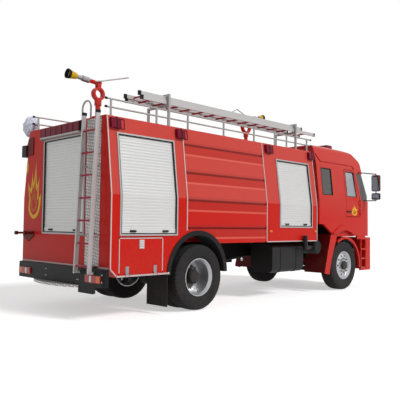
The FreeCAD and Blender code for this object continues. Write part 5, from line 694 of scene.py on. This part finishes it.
def build_side_trims(settings):
    """Pale edge strips, shutter frames with dark seals and the sill bar that ends in a round nose."""
    w, t = settings.width, settings.thick
    pale, frames, seals = [], [], []
    for x, bottom in ((BODY_BACK + w / 2, 0.730), (JOIN_BACK - w / 2, SKIRT_Z + 0.21), (JOIN_FRONT + w / 2, SKIRT_Z),
                      (BODY_FRONT - w / 2, SKIRT_Z)):
        knee = (x, BODY_HALF, KNEE_Z)
        pale.append(strip([(x, BODY_HALF, bottom), knee], w, t, OUT))
        pale.append(strip([knee, (x, ROOF_HALF + 0.004, ROOF_Z - 0.02)], w, t, skin_normal(ROOF_Z)))
    for opening in (REAR_SHUTTER, FRONT_SHUTTER):
        frames += frame_strips(opening, settings.frame, t + 0.004, SEAL_W)
        seals += frame_strips(opening, SEAL_W, t - 0.002)
    front, back, sill, low = along(-0.700), along(-1.667), 0.634, SKIRT_Z + w / 2
    for start, end, width, thick in (((JOIN_FRONT, low), (BODY_FRONT, low), w, t),
                                     ((back, sill), (front, sill), 0.024, t + 0.010),
                                     ((BODY_BACK + 0.01, 0.735), (back + 0.012, sill), w, t)):
        pale.append(strip([(x, BODY_HALF, z) for x, z in (start, end)], width, thick, OUT))
    pale.append(lathe([(0.018, 0), (0.018, t + 0.010), (0.012, t + 0.014), (0, t + 0.014)], (front, BODY_HALF, sill),
                      OUT, 20))
    tank_cap = lathe([(0.030, 0), (0.030, 0.006), (0.022, 0.013), (0.010, 0.015), (0, 0.015)],
                     (along(1.0), BODY_HALF, 0.786), OUT, 28)
    place("edge_trims", [("pale_trim", both(pale)), ("frame_grey", both(frames)), ("rubber", both(seals)),
                         ("steel", both([tank_cap]))], "chassis")


def build_tail_trims(settings):
    """Pale frame and dark seal of the tail shutter, and the pale line over the bumper."""
    y0, y1, z0, z1 = TAIL_SHUTTER

    def ring(gap, width, thick):
        """Four bars round the opening, a gap away from it."""
        left, right, bottom, top, h = y0 - gap, y1 + gap, z0 - gap, z1 + gap, width / 2
        ends = [((y, bottom - width), (y, top + width)) for y in (left - h, right + h)]
        ends += [((left, z), (right, z)) for z in (bottom - h, top + h)]
        return [strip([(BODY_BACK, *start), (BODY_BACK, *end)], width, thick, BACK) for start, end in ends]

    pale = strip([(BODY_BACK, -1.22, 0.748), (BODY_BACK, 1.22, 0.748)], 0.022, 0.004, BACK)
    place("tail_trims", [("frame_grey", ring(SEAL_W, settings.frame, settings.thick + 0.004)), ("pale_trim", [pale]),
                         ("rubber", ring(0, SEAL_W, settings.thick))], "chassis")


def build_flap_trims():
    """Pale strips round each locker flap."""
    w, t, y = 0.015, 0.004, BODY_HALF
    for side, sign in SIDES:
        (x0, _, z0), (x1, _, z1) = span("locker_flap_" + side)
        pale = [strip([(x, y, z0 + 0.03), (x, y, z1)], w, t, OUT) for x in (x0 + w / 2, x1 - w / 2)]
        pale.append(strip([(x0, y, z1 - w / 2), (x1, y, z1 - w / 2)], w, t, OUT))
        place("flap_trims_" + side, [("pale_trim", on_side(pale, sign))], "locker_flap_" + side)


def build_lamp_housings():
    """Black housings of the warning lamps: a frame and a deep rear end on the sides, dividers on the tail row."""
    black = []
    low, high = SIDE_LAMP_Z
    outward = skin_normal(low)
    for back in SIDE_LAMPS:
        front, end = back + SIDE_LAMP_L, back + 0.009
        corners = on_skin(back, low), on_skin(front, low), on_skin(front, high), on_skin(back, high)
        black += [strip(corners[i:i + 2], 0.006, 0.010, outward) for i in range(3)]
        black.append(strip([on_skin(end, low - 0.004), on_skin(end, high + 0.004)], 0.024, SIDE_LAMP_T + 0.002,
                           outward))
    shapes = both(black)
    x = BODY_BACK
    y0, y1 = TAIL_ROW
    pitch = (y1 - y0 + TAIL_ROW_GAP) / TAIL_ROW_LAMPS
    bottom, top = TAIL_ROW_Z
    for i in range(TAIL_ROW_LAMPS + 1):
        y = y0 + i * pitch - TAIL_ROW_GAP
        shapes.append(block((x - 0.050, y + 0.001, bottom), (x, y + TAIL_ROW_GAP - 0.001, top), 0.003))
    shapes.append(block((x - 0.012, y0, top), (x, y1, top + 0.008), 0.002))
    place("lamp_housings", [("black", shapes)], "chassis")


def build_tail():
    """Checker strip behind the ladder with its rivets, lens blocks, bumper bolts and bolts of the ladder stiles."""
    face, rivet_lines, rivet_heights = BODY_BACK - 0.004, (-0.955, -0.66), np.arange(0.80, 2.88, 0.13)
    rivets = [dome(0.007, 0.004, (face, y, z), BACK) for y in rivet_lines for z in rivet_heights]
    place("ladder_checker_strip", [("checker", [block((face, -0.985, 0.740), (BODY_BACK, -0.630, 2.895))]),
                                   ("steel", rivets)], "chassis")
    (back, _, bottom), (_, _, top) = span("tail_lamps")
    groups = {"lens_red": [], "lens_amber": [], "lens_white": []}
    for inner, outer, look in TAIL_LENSES:
        lens = block((back - 0.006, inner, bottom + 0.008), (back + 0.002, outer, top - 0.008), 0.003)
        groups[look] += both([lens])
    place("tail_lenses", list(groups.items()), "chassis")
    bolts = [dome(0.011, 0.009, (along(-1.860), y, z), BACK, 6)
             for y in (-0.60, -0.57, 0.30, 0.33, -1.19, 1.19) for z in (0.56, 0.66)]
    place("bumper_bolts", [("steel", bolts)], "chassis")
    foot, head = np.array((along(-1.965), 0.690)), np.array((along(-1.868), 2.985))
    rise = head - foot
    outward = np.array((-rise[1], 0.0, rise[0])) / np.linalg.norm(rise)
    heads = [dome(0.010, 0.005, (foot[0] + rise[0] * (z - foot[1]) / rise[1], y, z), outward, 6)
             for z in np.arange(0.762, 2.90, 0.325) for y in (-0.990, -0.640)]
    place("ladder_bolts", [("steel", heads)], "chassis")


def flame(lower, upper, corners):
    """Generic flame outline as (across, up) points: arcs from corner to corner of a unit box, each the
    curve of second order whose middle control point lies off the chord by a bulge times the chord's length."""
    out = []
    t = np.linspace(0, 1, 5, endpoint=False)[:, None]
    for i, (u, v, bulge) in enumerate(corners):
        start, end = np.array((u, v)), np.array(corners[(i + 1) % len(corners)][:2])
        chord = end - start
        middle = (start + end) / 2 + bulge * np.array((chord[1], -chord[0]))
        out.append((1 - t) ** 2 * start + 2 * t * (1 - t) * middle + t ** 2 * end)
    return np.vstack(out) * (upper[0] - lower[0], upper[1] - lower[1]) + lower


# Corners of a flame as (across, up, bulge of the arc that follows) in a unit box
BLAZE = [(0.42, 0.00, -0.20), (0.06, 0.16, -0.25), (0.00, 0.42, 0.20), (0.17, 0.34, 0.10), (0.12, 0.70, 0.15),
         (0.30, 0.55, 0.10), (0.40, 1.00, 0.15), (0.58, 0.60, 0.20), (0.66, 0.84, 0.12), (0.78, 0.50, 0.20),
         (1.00, 0.64, -0.10), (0.88, 0.34, 0.10), (0.94, 0.18, -0.20), (0.70, 0.02, -0.15)]
SPARK = [(0.40, 0.0, -0.3), (0.0, 0.55, 0.1), (0.45, 1.0, -0.1), (1.0, 0.50, -0.3)]
# Sheets of the artwork: look, lower and upper corner, height over the paint, corners of the outline
TAIL_SHEETS = (("flame_yellow", (0.690, 1.45), (1.120, 2.42), 0.0006, BLAZE),
               ("flame_yellow", (1.125, 2.20), (1.190, 2.46), 0.0006, SPARK),
               ("panel_red", (0.752, 1.51), (1.062, 2.20), 0.0016, BLAZE),
               ("flame_orange", (0.800, 1.56), (1.020, 2.02), 0.0026, BLAZE),
               ("panel_red", (0.850, 1.60), (0.975, 1.86), 0.0036, BLAZE))
DOOR_SHEETS = (("flame_yellow", (0, 0), (0.25, 0.255), 0.0008, BLAZE),
               ("flame_orange", (0.05, 0.02), (0.20, 0.16), 0.0018, BLAZE))
SHEET_THICK = 0.0006


def build_artwork():
    """Painted flames: on the tail a yellow blaze with a red heart, an orange core and a red centre and a spark
    beside it, and on each cab door a yellow blaze with an orange heart."""
    groups = {}
    for look, lower, upper, lift, corners in TAIL_SHEETS:
        outline = [(BODY_BACK - lift, u, v) for u, v in flame(lower, upper, corners)]
        groups.setdefault(look, []).append(plate(outline, SHEET_THICK))
    place("tail_flames", list(groups.items()), "chassis", 20)
    for side, sign in SIDES:
        groups = []
        for look, lower, upper, lift, corners in DOOR_SHEETS:
            face = sign * (DOOR_FACE + lift)
            outline = [(along(4.745) + u, face, 1.625 + v) for u, v in flame(lower, upper, corners)]
            groups.append((look, [plate(outline if sign < 0 else outline[::-1], SHEET_THICK)]))
        place("door_flames_" + side, groups, "cab_door_" + side, 20)


def build_wrap():
    """Lamp in a loose pale bag: a stretched ball pushed in and out by twenty sets of folds, each the height of a
    folded sine wave along a direction drawn at random, and by pleats that run down to a neck gathered round
    the stem."""
    low, high = span("search_lamp")
    centre = np.array([(low[0] + high[0]) / 2, high[1] - 0.150, (low[2] + high[2]) / 2])
    rows, columns = 100, 160
    down, turn, unit = ball(rows, columns, 0.02, math.pi - 0.16)
    rng = np.random.default_rng(7)
    folds = np.zeros((rows, columns))
    for k in range(20):
        direction = rng.normal(size=3)
        direction /= np.linalg.norm(direction)
        rate, phase = rng.uniform(4, 19), rng.uniform(0, 6.28)
        folds += (1 - 2 * np.abs(np.sin(unit @ direction * rate + phase))) / rate ** 0.7
    folds /= np.abs(folds).max()
    pleats = 0.06 * np.abs(np.sin(turn * 9 + 0.6 * np.sin(turn * 2))) * np.clip((down - 2.1) / 0.8, 0, 1)
    reach = np.array([0.165, 0.165, 0.224]) * (0.87 + 0.13 * folds[:, :, None] - pleats[:, :, None])
    points = centre + unit * reach
    top = centre + (0, 0, float((unit * reach)[0, :, 2].mean()))
    crown = [(rows * columns, i, (i + 1) % columns) for i in range(columns)]
    surface = (np.vstack([points.reshape(-1, 3), top]), grid_faces(rows, columns) + crown)
    wrap = place("lamp_wrap", [("wrap", [surface])], "chassis", 70)
    wrap.modifiers.new("cloth", "SOLIDIFY").thickness = 0.0015
    rail_z, foot, head = 3.045, low[1] + 0.002, centre[1] - 0.06
    stem = lathe([(0.0155, 0), (0.0155, head - foot)], (centre[0], foot, rail_z), OUT, 12)
    clamp = lathe([(0.026, -0.02), (0.026, 0.02)], (centre[0], low[1] + 0.024, rail_z), OUT, 20)
    place("lamp_stem", [("steel", [stem, clamp])], "chassis")
    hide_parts("search_lamp")


def settle(item):
    """Modifiers of a piece applied to its mesh."""
    made = bpy.data.meshes.new_from_object(item.evaluated_get(bpy.context.evaluated_depsgraph_get()))
    item.modifiers.clear()
    item.data = made


def rows_of(values, key):
    """One property of every member of a collection as an array, a row to each."""
    found = np.zeros(len(values) * 3)
    values.foreach_get(key, found)
    return found.reshape(-1, 3)


def swell(item, settings):
    """Pad blown up a little by a cloth simulation, so that its faces crown and its sides pull in at the corners."""
    scene = bpy.context.scene
    remesh = item.modifiers.new("remesh", "REMESH")
    remesh.mode = "VOXEL"
    remesh.voxel_size = settings.voxel
    settle(item)
    start = rows_of(item.data.vertices, "co")
    cloth = item.modifiers.new("cloth", "CLOTH")
    cloth.settings.use_pressure = True
    cloth.settings.uniform_pressure_force = settings.pressure
    cloth.settings.effector_weights.gravity = 0
    cloth.point_cache.frame_start, cloth.point_cache.frame_end = 1, SWELL_FRAMES
    for number in range(1, SWELL_FRAMES + 1):
        scene.frame_set(number)
    settle(item)
    moves = rows_of(item.data.vertices, "co") - start
    far = np.linalg.norm(moves, axis=1)[:, None]
    capped = start + moves * np.minimum(1, settings.reach / np.maximum(far, 1e-9))
    item.data.vertices.foreach_set("co", capped.ravel())
    item.data.update()
    scene.frame_set(1)


def channels(item, axis, pitch, depth, up):
    """Sewn channels pressed into a pad: narrow dips at even steps along one axis, seen from the side it is sat on."""
    places, up = rows_of(item.data.vertices, "co"), np.array(up, float)
    facing_up = np.clip(rows_of(item.data.vertices, "normal") @ up, 0, 1)
    middle = (places[:, axis].min() + places[:, axis].max()) / 2
    away = np.abs((places[:, axis] - middle + pitch / 2) % pitch - pitch / 2)
    dip = depth * np.exp(-(away / 0.010) ** 2) * facing_up
    item.data.vertices.foreach_set("co", (places - dip[:, None] * up).ravel())
    item.data.update()


def build_seats(settings):
    """Padded seats and rear bench on plain plinths, in place of the plain ones."""
    low, high = span("seats")
    inset = settings.reach
    seat_x, length, thick, half, back_top = along(4.150), 0.520, 0.130, 0.260, 0.740
    plinths, pads = [], []
    for side, y in (("left", 0.620), ("right", -0.620)):
        plinths.append(block((seat_x + 0.06, y - 0.20, CAB_FLOOR + 0.001),
                             (seat_x + length - 0.06, y + 0.20, SEAT_BASE_Z + 0.02), 0.01))
        cushion = pad((seat_x + inset, y - half + inset, SEAT_BASE_Z + inset),
                      (seat_x + length - inset, y + half - inset, SEAT_BASE_Z + thick - inset))
        pads.append(("seat_pad_" + side, cushion, 1, 0.104, (0, 0, 1)))
        points, faces = pad((seat_x + 0.01 + inset, y - half + inset, SEAT_TOP_Z - 0.02),
                            (seat_x + thick - inset, y + half - inset, SEAT_BASE_Z + back_top - inset))
        points[:, 0] -= (points[:, 2] - SEAT_TOP_Z) * 0.165
        pads.append(("seat_back_" + side, (points, faces), 2, 0.120, (1, 0, 0)))
    bench_back, bench_front, top = low[0], low[0] + 0.400, CAB_FLOOR + 0.420
    plinths.append(block((bench_back, low[1] + 0.005, CAB_FLOOR + 0.001),
                         (bench_front - 0.03, high[1] - 0.005, top - 0.10), 0.01))
    pads.append(("bench_pad", pad((bench_back + inset, low[1] + inset, top - 0.115 + inset),
                                  (bench_front - inset, high[1] - inset, top - inset)), 1, 0.28, (0, 0, 1)))
    bases = place("seat_bases", [("plastic", plinths)], "cab")
    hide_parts("seats")
    for name, shape, axis, pitch, up in pads:
        item = place(name, [("cloth_seat", [shape])], "cab", 60)
        swell(item, settings)
        channels(item, axis, pitch, 0.007, up)
        item.data.polygons.foreach_set("use_smooth", [True] * len(item.data.polygons))
        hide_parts("seats")


def cab_line(corners, width, thick):
    """Closed flat bar round a window on the left side of the cab, which leans in above the waist.
    Its corners are (x, z) ahead of the rear axle."""
    lean = np.array((0, 1, CAB_LEAN)) / math.hypot(1, CAB_LEAN)
    ring = [(along(x), CAB_HALF - CAB_LEAN * (z - CAB_WAIST_Z), z) for x, z in corners]
    return [strip([ring[i], ring[(i + 1) % len(ring)]], width, thick, lean) for i in range(len(ring))]


def build_cab_trim():
    """Mirror glasses, seals round the side windows, the red skirt over the steps and a red panel inside the cab
    wall that closes the view under the wheel arch."""
    glass = [block((along(5.3275), 1.42, z0), (along(5.330), 1.58, z1), 0.001)
             for z0, z1 in ((2.195, 2.535), (2.005, 2.125))]
    place("mirror_glass", [("mirror", both(glass))], "cab")
    skirt = block((along(4.985), 1.195, 1.094), (along(5.357), 1.236, 1.164), 0.004)
    inner_panel = block((along(4.155), 1.176, 1.158), (along(4.905), 1.189, 1.300), 0.003)
    place("window_seals", [("rubber", both(cab_line(QUARTER_WINDOW, 0.014, 0.003)))], "cab")
    place("cab_skirt", [("red", both([skirt, inner_panel]))], "cab")
    for side, sign in SIDES:
        seal = cab_line(DOOR_WINDOW, 0.012, 0.003)
        place("door_seal_" + side, [("rubber", on_side(seal, sign))], "cab_door_" + side)


def build_arches():
    """Red lip and dark liner over each front wheel: arcs about the axle, clear of the tyre at full lock."""
    def arc(radius, y, start, end):
        turn = np.radians(np.linspace(start, end, 25))
        return np.stack([FRONT_AXLE_X + radius * np.cos(turn), 0 * turn + y, TYRE_R + radius * np.sin(turn)], 1)

    lip_r, lip_y, liner_r, liner_y = 0.598, 1.190, 0.578, 1.000
    lip = strip(arc(lip_r, lip_y, -6, 122), 0.046, 0.045, OUT)
    middle = arc(liner_r, liner_y, 38, 138)
    liner = strip(middle, 0.380, 0.006, (middle - (FRONT_AXLE_X, liner_y, TYRE_R)) / liner_r)
    place("arch_lips", [("red", both([lip]))], "chassis")
    place("arch_liners", [("rubber", both([liner]))], "chassis")


SOLID_LOOKS = {
    "red": "cab_shell cab_steps front_bumper locker_flap_left locker_flap_right door_left door_right monitor_bases "
           "rear_monitor_swivel front_monitor_swivel cab_roof",
    "panel_red": "rear_module front_module",
    "tank_red": "tank_module",
    "dark_red": "front_mudguards mirrors tail_fittings",
    "black": "rear_bumper front_grille",
    # Tanks under the body in a grey darkened as painted shade
    "shaded_drum_grey": "air_cleaner fuel_tank",
    "chassis": "chassis_frame battery_box",
    "casting": "driveline front_axle rear_axle leaf_springs knuckle_left knuckle_right",
    "rim": "front_rim_left front_rim_right rear_rims_left rear_rims_right",
    "rubber": "rear_mudguards",
    "aluminium": "rear_ladder roof_ladder",
    "rail": "roof_rails",
    "shutter": "roller_shutters",
    "lens_maroon": "warning_lamps beacon_bar",
    "lens_red": "tail_lamps",
    "lens_white": "headlamps",
    "cloth_seat": "seats",
    "plastic": "dashboard sun_visor",
    "yellow": "rear_monitor_barrel front_monitor_barrel",
    "wrap": "search_lamp",
    "tyre": "front_tyre_left front_tyre_right rear_tyres_left rear_tyres_right",
}


def paint_solids():
    """Materials of the solids by name, and the tinted glass of the windows."""
    dark = glass_material("window", (0.13, 0.13, 0.12), 0.6)
    # The door glass is paler than the other windows: a painted reflection of the bright surroundings
    pale = glass_material("door_window_painted_reflection", (0.60, 0.64, 0.68), 0.45)
    painted = {node: material(look) for look, nodes in SOLID_LOOKS.items() for node in nodes.split()}
    for node, look in {**painted, "cab_glass": dark, "door_glass_left": pale, "door_glass_right": pale}.items():
        materials = frame["nodes"][node].data.materials
        materials.clear()
        materials.append(look)


def pick(node, look, chosen):
    """Second material on the faces of a solid whose centres pass a test on their x, y and z as arrays."""
    mesh = frame["nodes"][node].data
    mesh.materials.append(material(look))
    marks = np.zeros(len(mesh.polygons), np.int32)
    mesh.polygons.foreach_get("material_index", marks)
    marks[chosen(*rows_of(mesh.polygons, "center").T)] = len(mesh.materials) - 1
    mesh.polygons.foreach_set("material_index", marks)


def facing(node, axis):
    """One part of the outward direction of each face of a solid."""
    return rows_of(frame["nodes"][node].data.polygons, "normal")[:, axis]


def between(values, low, high):
    """Where values lie between two limits."""
    return (values > low) & (values < high)


def inside(first, second, opening, grow=0.003):
    """Where two coordinates lie in an opening given by its lowest and highest of each, or close around it."""
    low_1, high_1, low_2, high_2 = opening
    return between(first, low_1 - grow, high_1 + grow) & between(second, low_2 - grow, high_2 + grow)


def pick_tail():
    """Rungs, caps, latches, hooks, knobs and the other small features at the tail."""
    pick("rear_ladder", "crimson", lambda x, y, z: (np.abs(y - LADDER_Y) < RUNG_HALF) & (z < 2.9))
    pick("rear_ladder", "rubber", lambda x, y, z: z > 2.944)
    pick("rear_bumper", "checker", lambda x, y, z: x < along(-1.8605))
    pick("tail_fittings", "frame_grey", lambda x, y, z: between(z, 2.70, 2.76) & (y < 0.70))
    pick("tail_fittings", "black", lambda x, y, z: (y > 1.159) & between(z, 2.48, 2.69))
    pick("tail_fittings", "steel", lambda x, y, z: (y < -0.79) & (z < 2.3))
    for node, (back, front, bottom, top) in (("rear_module", REAR_SHUTTER), ("front_module", FRONT_SHUTTER)):
        inward = np.abs(facing(node, 1)) < 0.7
        opening = along(back), along(front), bottom, top
        pick(node, "rubber", lambda x, y, z: inside(x, z, opening) & (np.abs(y) > 1.0) & inward)
    inward = np.abs(facing("rear_module", 0)) < 0.7
    pick("rear_module", "rubber", lambda x, y, z: inside(y, z, TAIL_SHUTTER) & (x < BODY_BACK + 0.12) & inward)
    pick("warning_lamps", "lens_amber", lambda x, y, z: z < 1.5)
    pick("roller_shutters", "black", lambda x, y, z: (np.abs(y) > 1.2405) | (x < along(-1.770)))
    for side, _ in SIDES:
        pick("locker_flap_" + side, "aluminium", lambda x, y, z: (np.abs(y) > BODY_HALF + PROUD)
             & inside(x, z, (along(-1.27), along(-1.16), 1.0, 1.16), 0))
        pick("locker_flap_" + side, "steel", lambda x, y, z: (np.abs(y) > BODY_HALF + PROUD) & (z < 0.78))


def pick_roof():
    """Rungs and caps of the roof ladder, caps of the railings, and the parts of the two monitors."""
    pick("roof_ladder", "crimson", lambda x, y, z: np.abs(y - LADDER_Y) < RUNG_HALF)
    cap = 0.041
    for back, front, low, high in ((-1.0850, 3.600, 3.27, 3.3325), (-1.120, 3.150, 3.3325, 3.40)):
        pick("roof_ladder", "rubber", lambda x, y, z: between(z, low, high)
             & ((x < along(back + cap)) | (x > along(front - cap))))
    pick("roof_rails", "rubber", lambda x, y, z: (np.abs(y) > 0.98) & between(z, 3.0, 3.2)
         & ((x < along(-1.729)) | (x > along(3.389))))
    for node, pivot, reach, lever in (("rear_monitor_barrel", (along(-1.690), -0.760, 3.430), (-0.530, 0.045), -1),
                                      ("front_monitor_barrel", (along(2.560), 0.0, 3.640), (0.560, 0.080), 1)):
        length = math.hypot(*reach)
        centres = rows_of(frame["nodes"][node].data.polygons, "center") - pivot
        ahead = (centres[:, 0] * reach[0] + centres[:, 2] * reach[1]) / length
        pick(node, "red", lambda x, y, z: ahead < 0.16)
        pick(node, "steel", lambda x, y, z: between(ahead, 0.16, length - 0.152))
        pick(node, "black", lambda x, y, z: ahead > length - 0.055)
        pick(node, "rail", lambda x, y, z: (ahead < 0.10) & (lever * centres[:, 1] > 0.045) | (ahead < -0.05))


def pick_cab():
    """Window seals, step treads, handles, mirror arms and heads, mudguard faces and wheel hubs."""
    inward = np.abs(facing("cab_shell", 1)) < 0.8
    pick("cab_shell", "rubber", lambda x, y, z: inside(x, z, (along(3.594), along(3.978), 1.99, 2.60), 0)
         & (np.abs(y) > 1.08) & inward)
    flat = facing("cab_steps", 2) > 0.7
    pick("cab_steps", "aluminium", lambda x, y, z: flat & (z < 1.08))
    for side, _ in SIDES:
        low, high = span("door_glass_" + side)
        pick("door_" + side, "rubber", lambda x, y, z: inside(x, z, (low[0], high[0], low[2], high[2])))
        pick("door_" + side, "black", lambda x, y, z: (np.abs(y) > DOOR_FACE + PROUD) & between(z, 1.685, 1.722)
             & (x < along(4.73)))
        pick("rear_rims_" + side, "rear_disc", lambda x, y, z: np.hypot(x - REAR_AXLE_X, z - TYRE_R) < REAR_DISC_R)
    pick("front_mudguards", "red", lambda x, y, z: np.abs(y) > 1.214)
    pick("mirrors", "shaded_drum_grey", lambda x, y, z: (z < 2.15) | (x > along(5.3595)) | (np.abs(y) < 1.40))
    for node, axle in (("front_rim_left", FRONT_AXLE_X), ("front_rim_right", FRONT_AXLE_X),
                       ("rear_rims_left", REAR_AXLE_X), ("rear_rims_right", REAR_AXLE_X)):
        pick(node, "hub", lambda x, y, z: np.hypot(x - axle, z - TYRE_R) < HUB_R)


def build_stage(settings):
    """Pale floor, two soft lamps, a plain world that looks white to the camera, and the camera."""
    mesh, far = bpy.data.meshes.new("floor"), 60
    mesh.from_pydata([(-far, -far, 0), (far, -far, 0), (far, far, 0), (-far, far, 0)], [], [(0, 1, 2, 3)])
    floor = bpy.data.objects.new("floor", mesh)
    bpy.context.scene.collection.objects.link(floor)
    look, tree, shader = new_material("floor")
    glow = product(tree, seen_rays(tree), settings.glow)
    feed(shader, {"Base Color": (*settings.floor, 1), "Roughness": 0.9, "Specular IOR Level": 0.1,
                  "Emission Color": (1, 1, 1, 1), "Emission Strength": glow})
    mesh.materials.append(look)
    world = bpy.data.worlds.new("studio")
    bpy.context.scene.world = world
    world.use_nodes = True
    tree = world.node_tree
    tree.nodes.clear()
    plain = shader_node(tree, "Background", {"Color": (1, 1, 1, 1), "Strength": settings.fill})
    white = shader_node(tree, "Background", {"Color": (1, 1, 1, 1)})
    mix = shader_node(tree, "MixShader", {"Fac": seen_rays(tree), 1: plain.outputs[0], 2: white.outputs[0]})
    shader_node(tree, "OutputWorld", {0: mix.outputs[0]})
    for name, direction, strength, angle in (("key", (0.22, -0.80, 0.72), settings.key, 16.0),
                                             ("soft_fill", (-0.8, -0.5, 0.4), settings.key * 0.06, 60.0)):
        lamp = bpy.data.lights.new(name, "SUN")
        lamp.energy = strength
        lamp.angle = math.radians(angle)
        item = bpy.data.objects.new(name, lamp)
        item.rotation_euler = Vector(direction).to_track_quat("Z", "Y").to_euler()
        bpy.context.scene.collection.objects.link(item)
    yaw, pitch, roll = 0.785, 0.046, 0.012
    forward = Vector((math.sin(yaw) * math.cos(pitch), math.cos(yaw) * math.cos(pitch), math.sin(pitch)))
    right = Vector((math.cos(yaw), -math.sin(yaw), 0))
    up = right.cross(forward)
    across = right * math.cos(roll) + up * math.sin(roll)
    upright = up * math.cos(roll) - right * math.sin(roll)
    camera = bpy.data.objects.new("camera", bpy.data.cameras.new("camera"))
    camera.data.lens, camera.data.sensor_width = 49.5, 36
    turn = Matrix((across, upright, -forward)).transposed().to_4x4()
    camera.matrix_world = Matrix.Translation((along(-6.277), -7.496, 1.363)) @ turn
    bpy.context.scene.collection.objects.link(camera)
    bpy.context.scene.camera = camera
    bpy.context.scene.view_settings.view_transform = "Standard"


def seen_rays(tree):
    """1 for rays from the camera, off shiny surfaces or through glass, and 0 for the light on the object."""
    rays = tree.nodes.new("ShaderNodeLightPath").outputs
    return math_node(tree, "MAXIMUM", math_node(tree, "MAXIMUM", rays["Is Camera Ray"], rays["Is Glossy Ray"]),
                     rays["Is Transmission Ray"])


# Operators

class ENGINE_OT_paint(bpy.types.Operator):
    """Build the shader groups and paint the solids"""
    bl_idname = "engine.paint"
    bl_label = "Paint the Solids"

    def execute(self, context):
        for build in (grime_group, variation_group, sky_sheen_group, fold_shading_group, checker_group, grain_group, slat_group,
                      weave_group):
            build()
        paint_solids()
        pick_tail()
        pick_roof()
        pick_cab()
        return {"FINISHED"}


class ENGINE_OT_wheels(bpy.types.Operator):
    """Build the treaded tyres and the wheel nuts"""
    bl_idname = "engine.wheels"
    bl_label = "Tyres and Nuts"

    def execute(self, context):
        build_tyres(context.scene.engine_tyres)
        build_nuts()
        return {"FINISHED"}


class ENGINE_OT_trims(bpy.types.Operator):
    """Build the strips, frames and seals of the body and its flaps"""
    bl_idname = "engine.trims"
    bl_label = "Body Trims"

    def execute(self, context):
        build_side_trims(context.scene.engine_trims)
        build_tail_trims(context.scene.engine_trims)
        build_flap_trims()
        return {"FINISHED"}


class ENGINE_OT_tail(bpy.types.Operator):
    """Build the lamp housings and the checker strip, lenses and bolts of the tail"""
    bl_idname = "engine.tail"
    bl_label = "Lamps and Tail"

    def execute(self, context):
        build_lamp_housings()
        build_tail()
        return {"FINISHED"}


class ENGINE_OT_artwork(bpy.types.Operator):
    """Paint the flames on the tail and the doors"""
    bl_idname = "engine.artwork"
    bl_label = "Flames"

    def execute(self, context):
        build_artwork()
        return {"FINISHED"}


class ENGINE_OT_wrap(bpy.types.Operator):
    """Build the wrapped lamp at the tail"""
    bl_idname = "engine.wrap"
    bl_label = "Wrapped Lamp"

    def execute(self, context):
        build_wrap()
        return {"FINISHED"}


class ENGINE_OT_seats(bpy.types.Operator):
    """Build the padded seats of the cab"""
    bl_idname = "engine.seats"
    bl_label = "Seats"

    def execute(self, context):
        build_seats(context.scene.engine_seats)
        return {"FINISHED"}


class ENGINE_OT_cab(bpy.types.Operator):
    """Build the mirror glasses, seals, skirt and wheel arches of the cab"""
    bl_idname = "engine.cab"
    bl_label = "Cab Details"

    def execute(self, context):
        build_cab_trim()
        build_arches()
        return {"FINISHED"}


class ENGINE_OT_stage(bpy.types.Operator):
    """Build the floor, lights, world and camera"""
    bl_idname = "engine.stage"
    bl_label = "Studio"

    def execute(self, context):
        build_stage(context.scene.engine_studio)
        return {"FINISHED"}


class ENGINE_PT_panel(bpy.types.Panel):
    """Sidebar list of the engine's pieces"""
    bl_label = "Fire Engine"
    bl_idname = "ENGINE_PT_panel"
    bl_space_type = "VIEW_3D"
    bl_region_type = "UI"
    bl_category = "Fire Engine"

    def draw(self, context):
        for name in STEPS:
            self.layout.operator("engine." + name)
        for name in SETTINGS:
            group = getattr(context.scene, name)
            box = self.layout.box()
            for key in type(group).__annotations__:
                box.prop(group, key)


STEPS = ("stage", "paint", "wheels", "trims", "tail", "artwork", "wrap", "seats", "cab")
SETTINGS = {"engine_paint": PaintSettings, "engine_tyres": TyreSettings, "engine_trims": TrimSettings,
            "engine_seats": SeatSettings, "engine_studio": StudioSettings}
CLASSES = (*SETTINGS.values(), ENGINE_OT_paint, ENGINE_OT_wheels, ENGINE_OT_trims, ENGINE_OT_tail,
           ENGINE_OT_artwork, ENGINE_OT_wrap, ENGINE_OT_seats, ENGINE_OT_cab, ENGINE_OT_stage, ENGINE_PT_panel)


def register():
    for item in CLASSES:
        bpy.utils.register_class(item)
    for name, kind in SETTINGS.items():
        setattr(bpy.types.Scene, name, PointerProperty(type=kind))


def unregister():
    for name in SETTINGS:
        delattr(bpy.types.Scene, name)
    for item in reversed(CLASSES):
        bpy.utils.unregister_class(item)


def main():
    register()
    for step in STEPS:
        getattr(bpy.ops.engine, step)()


if __name__ == "__main__":
    main()
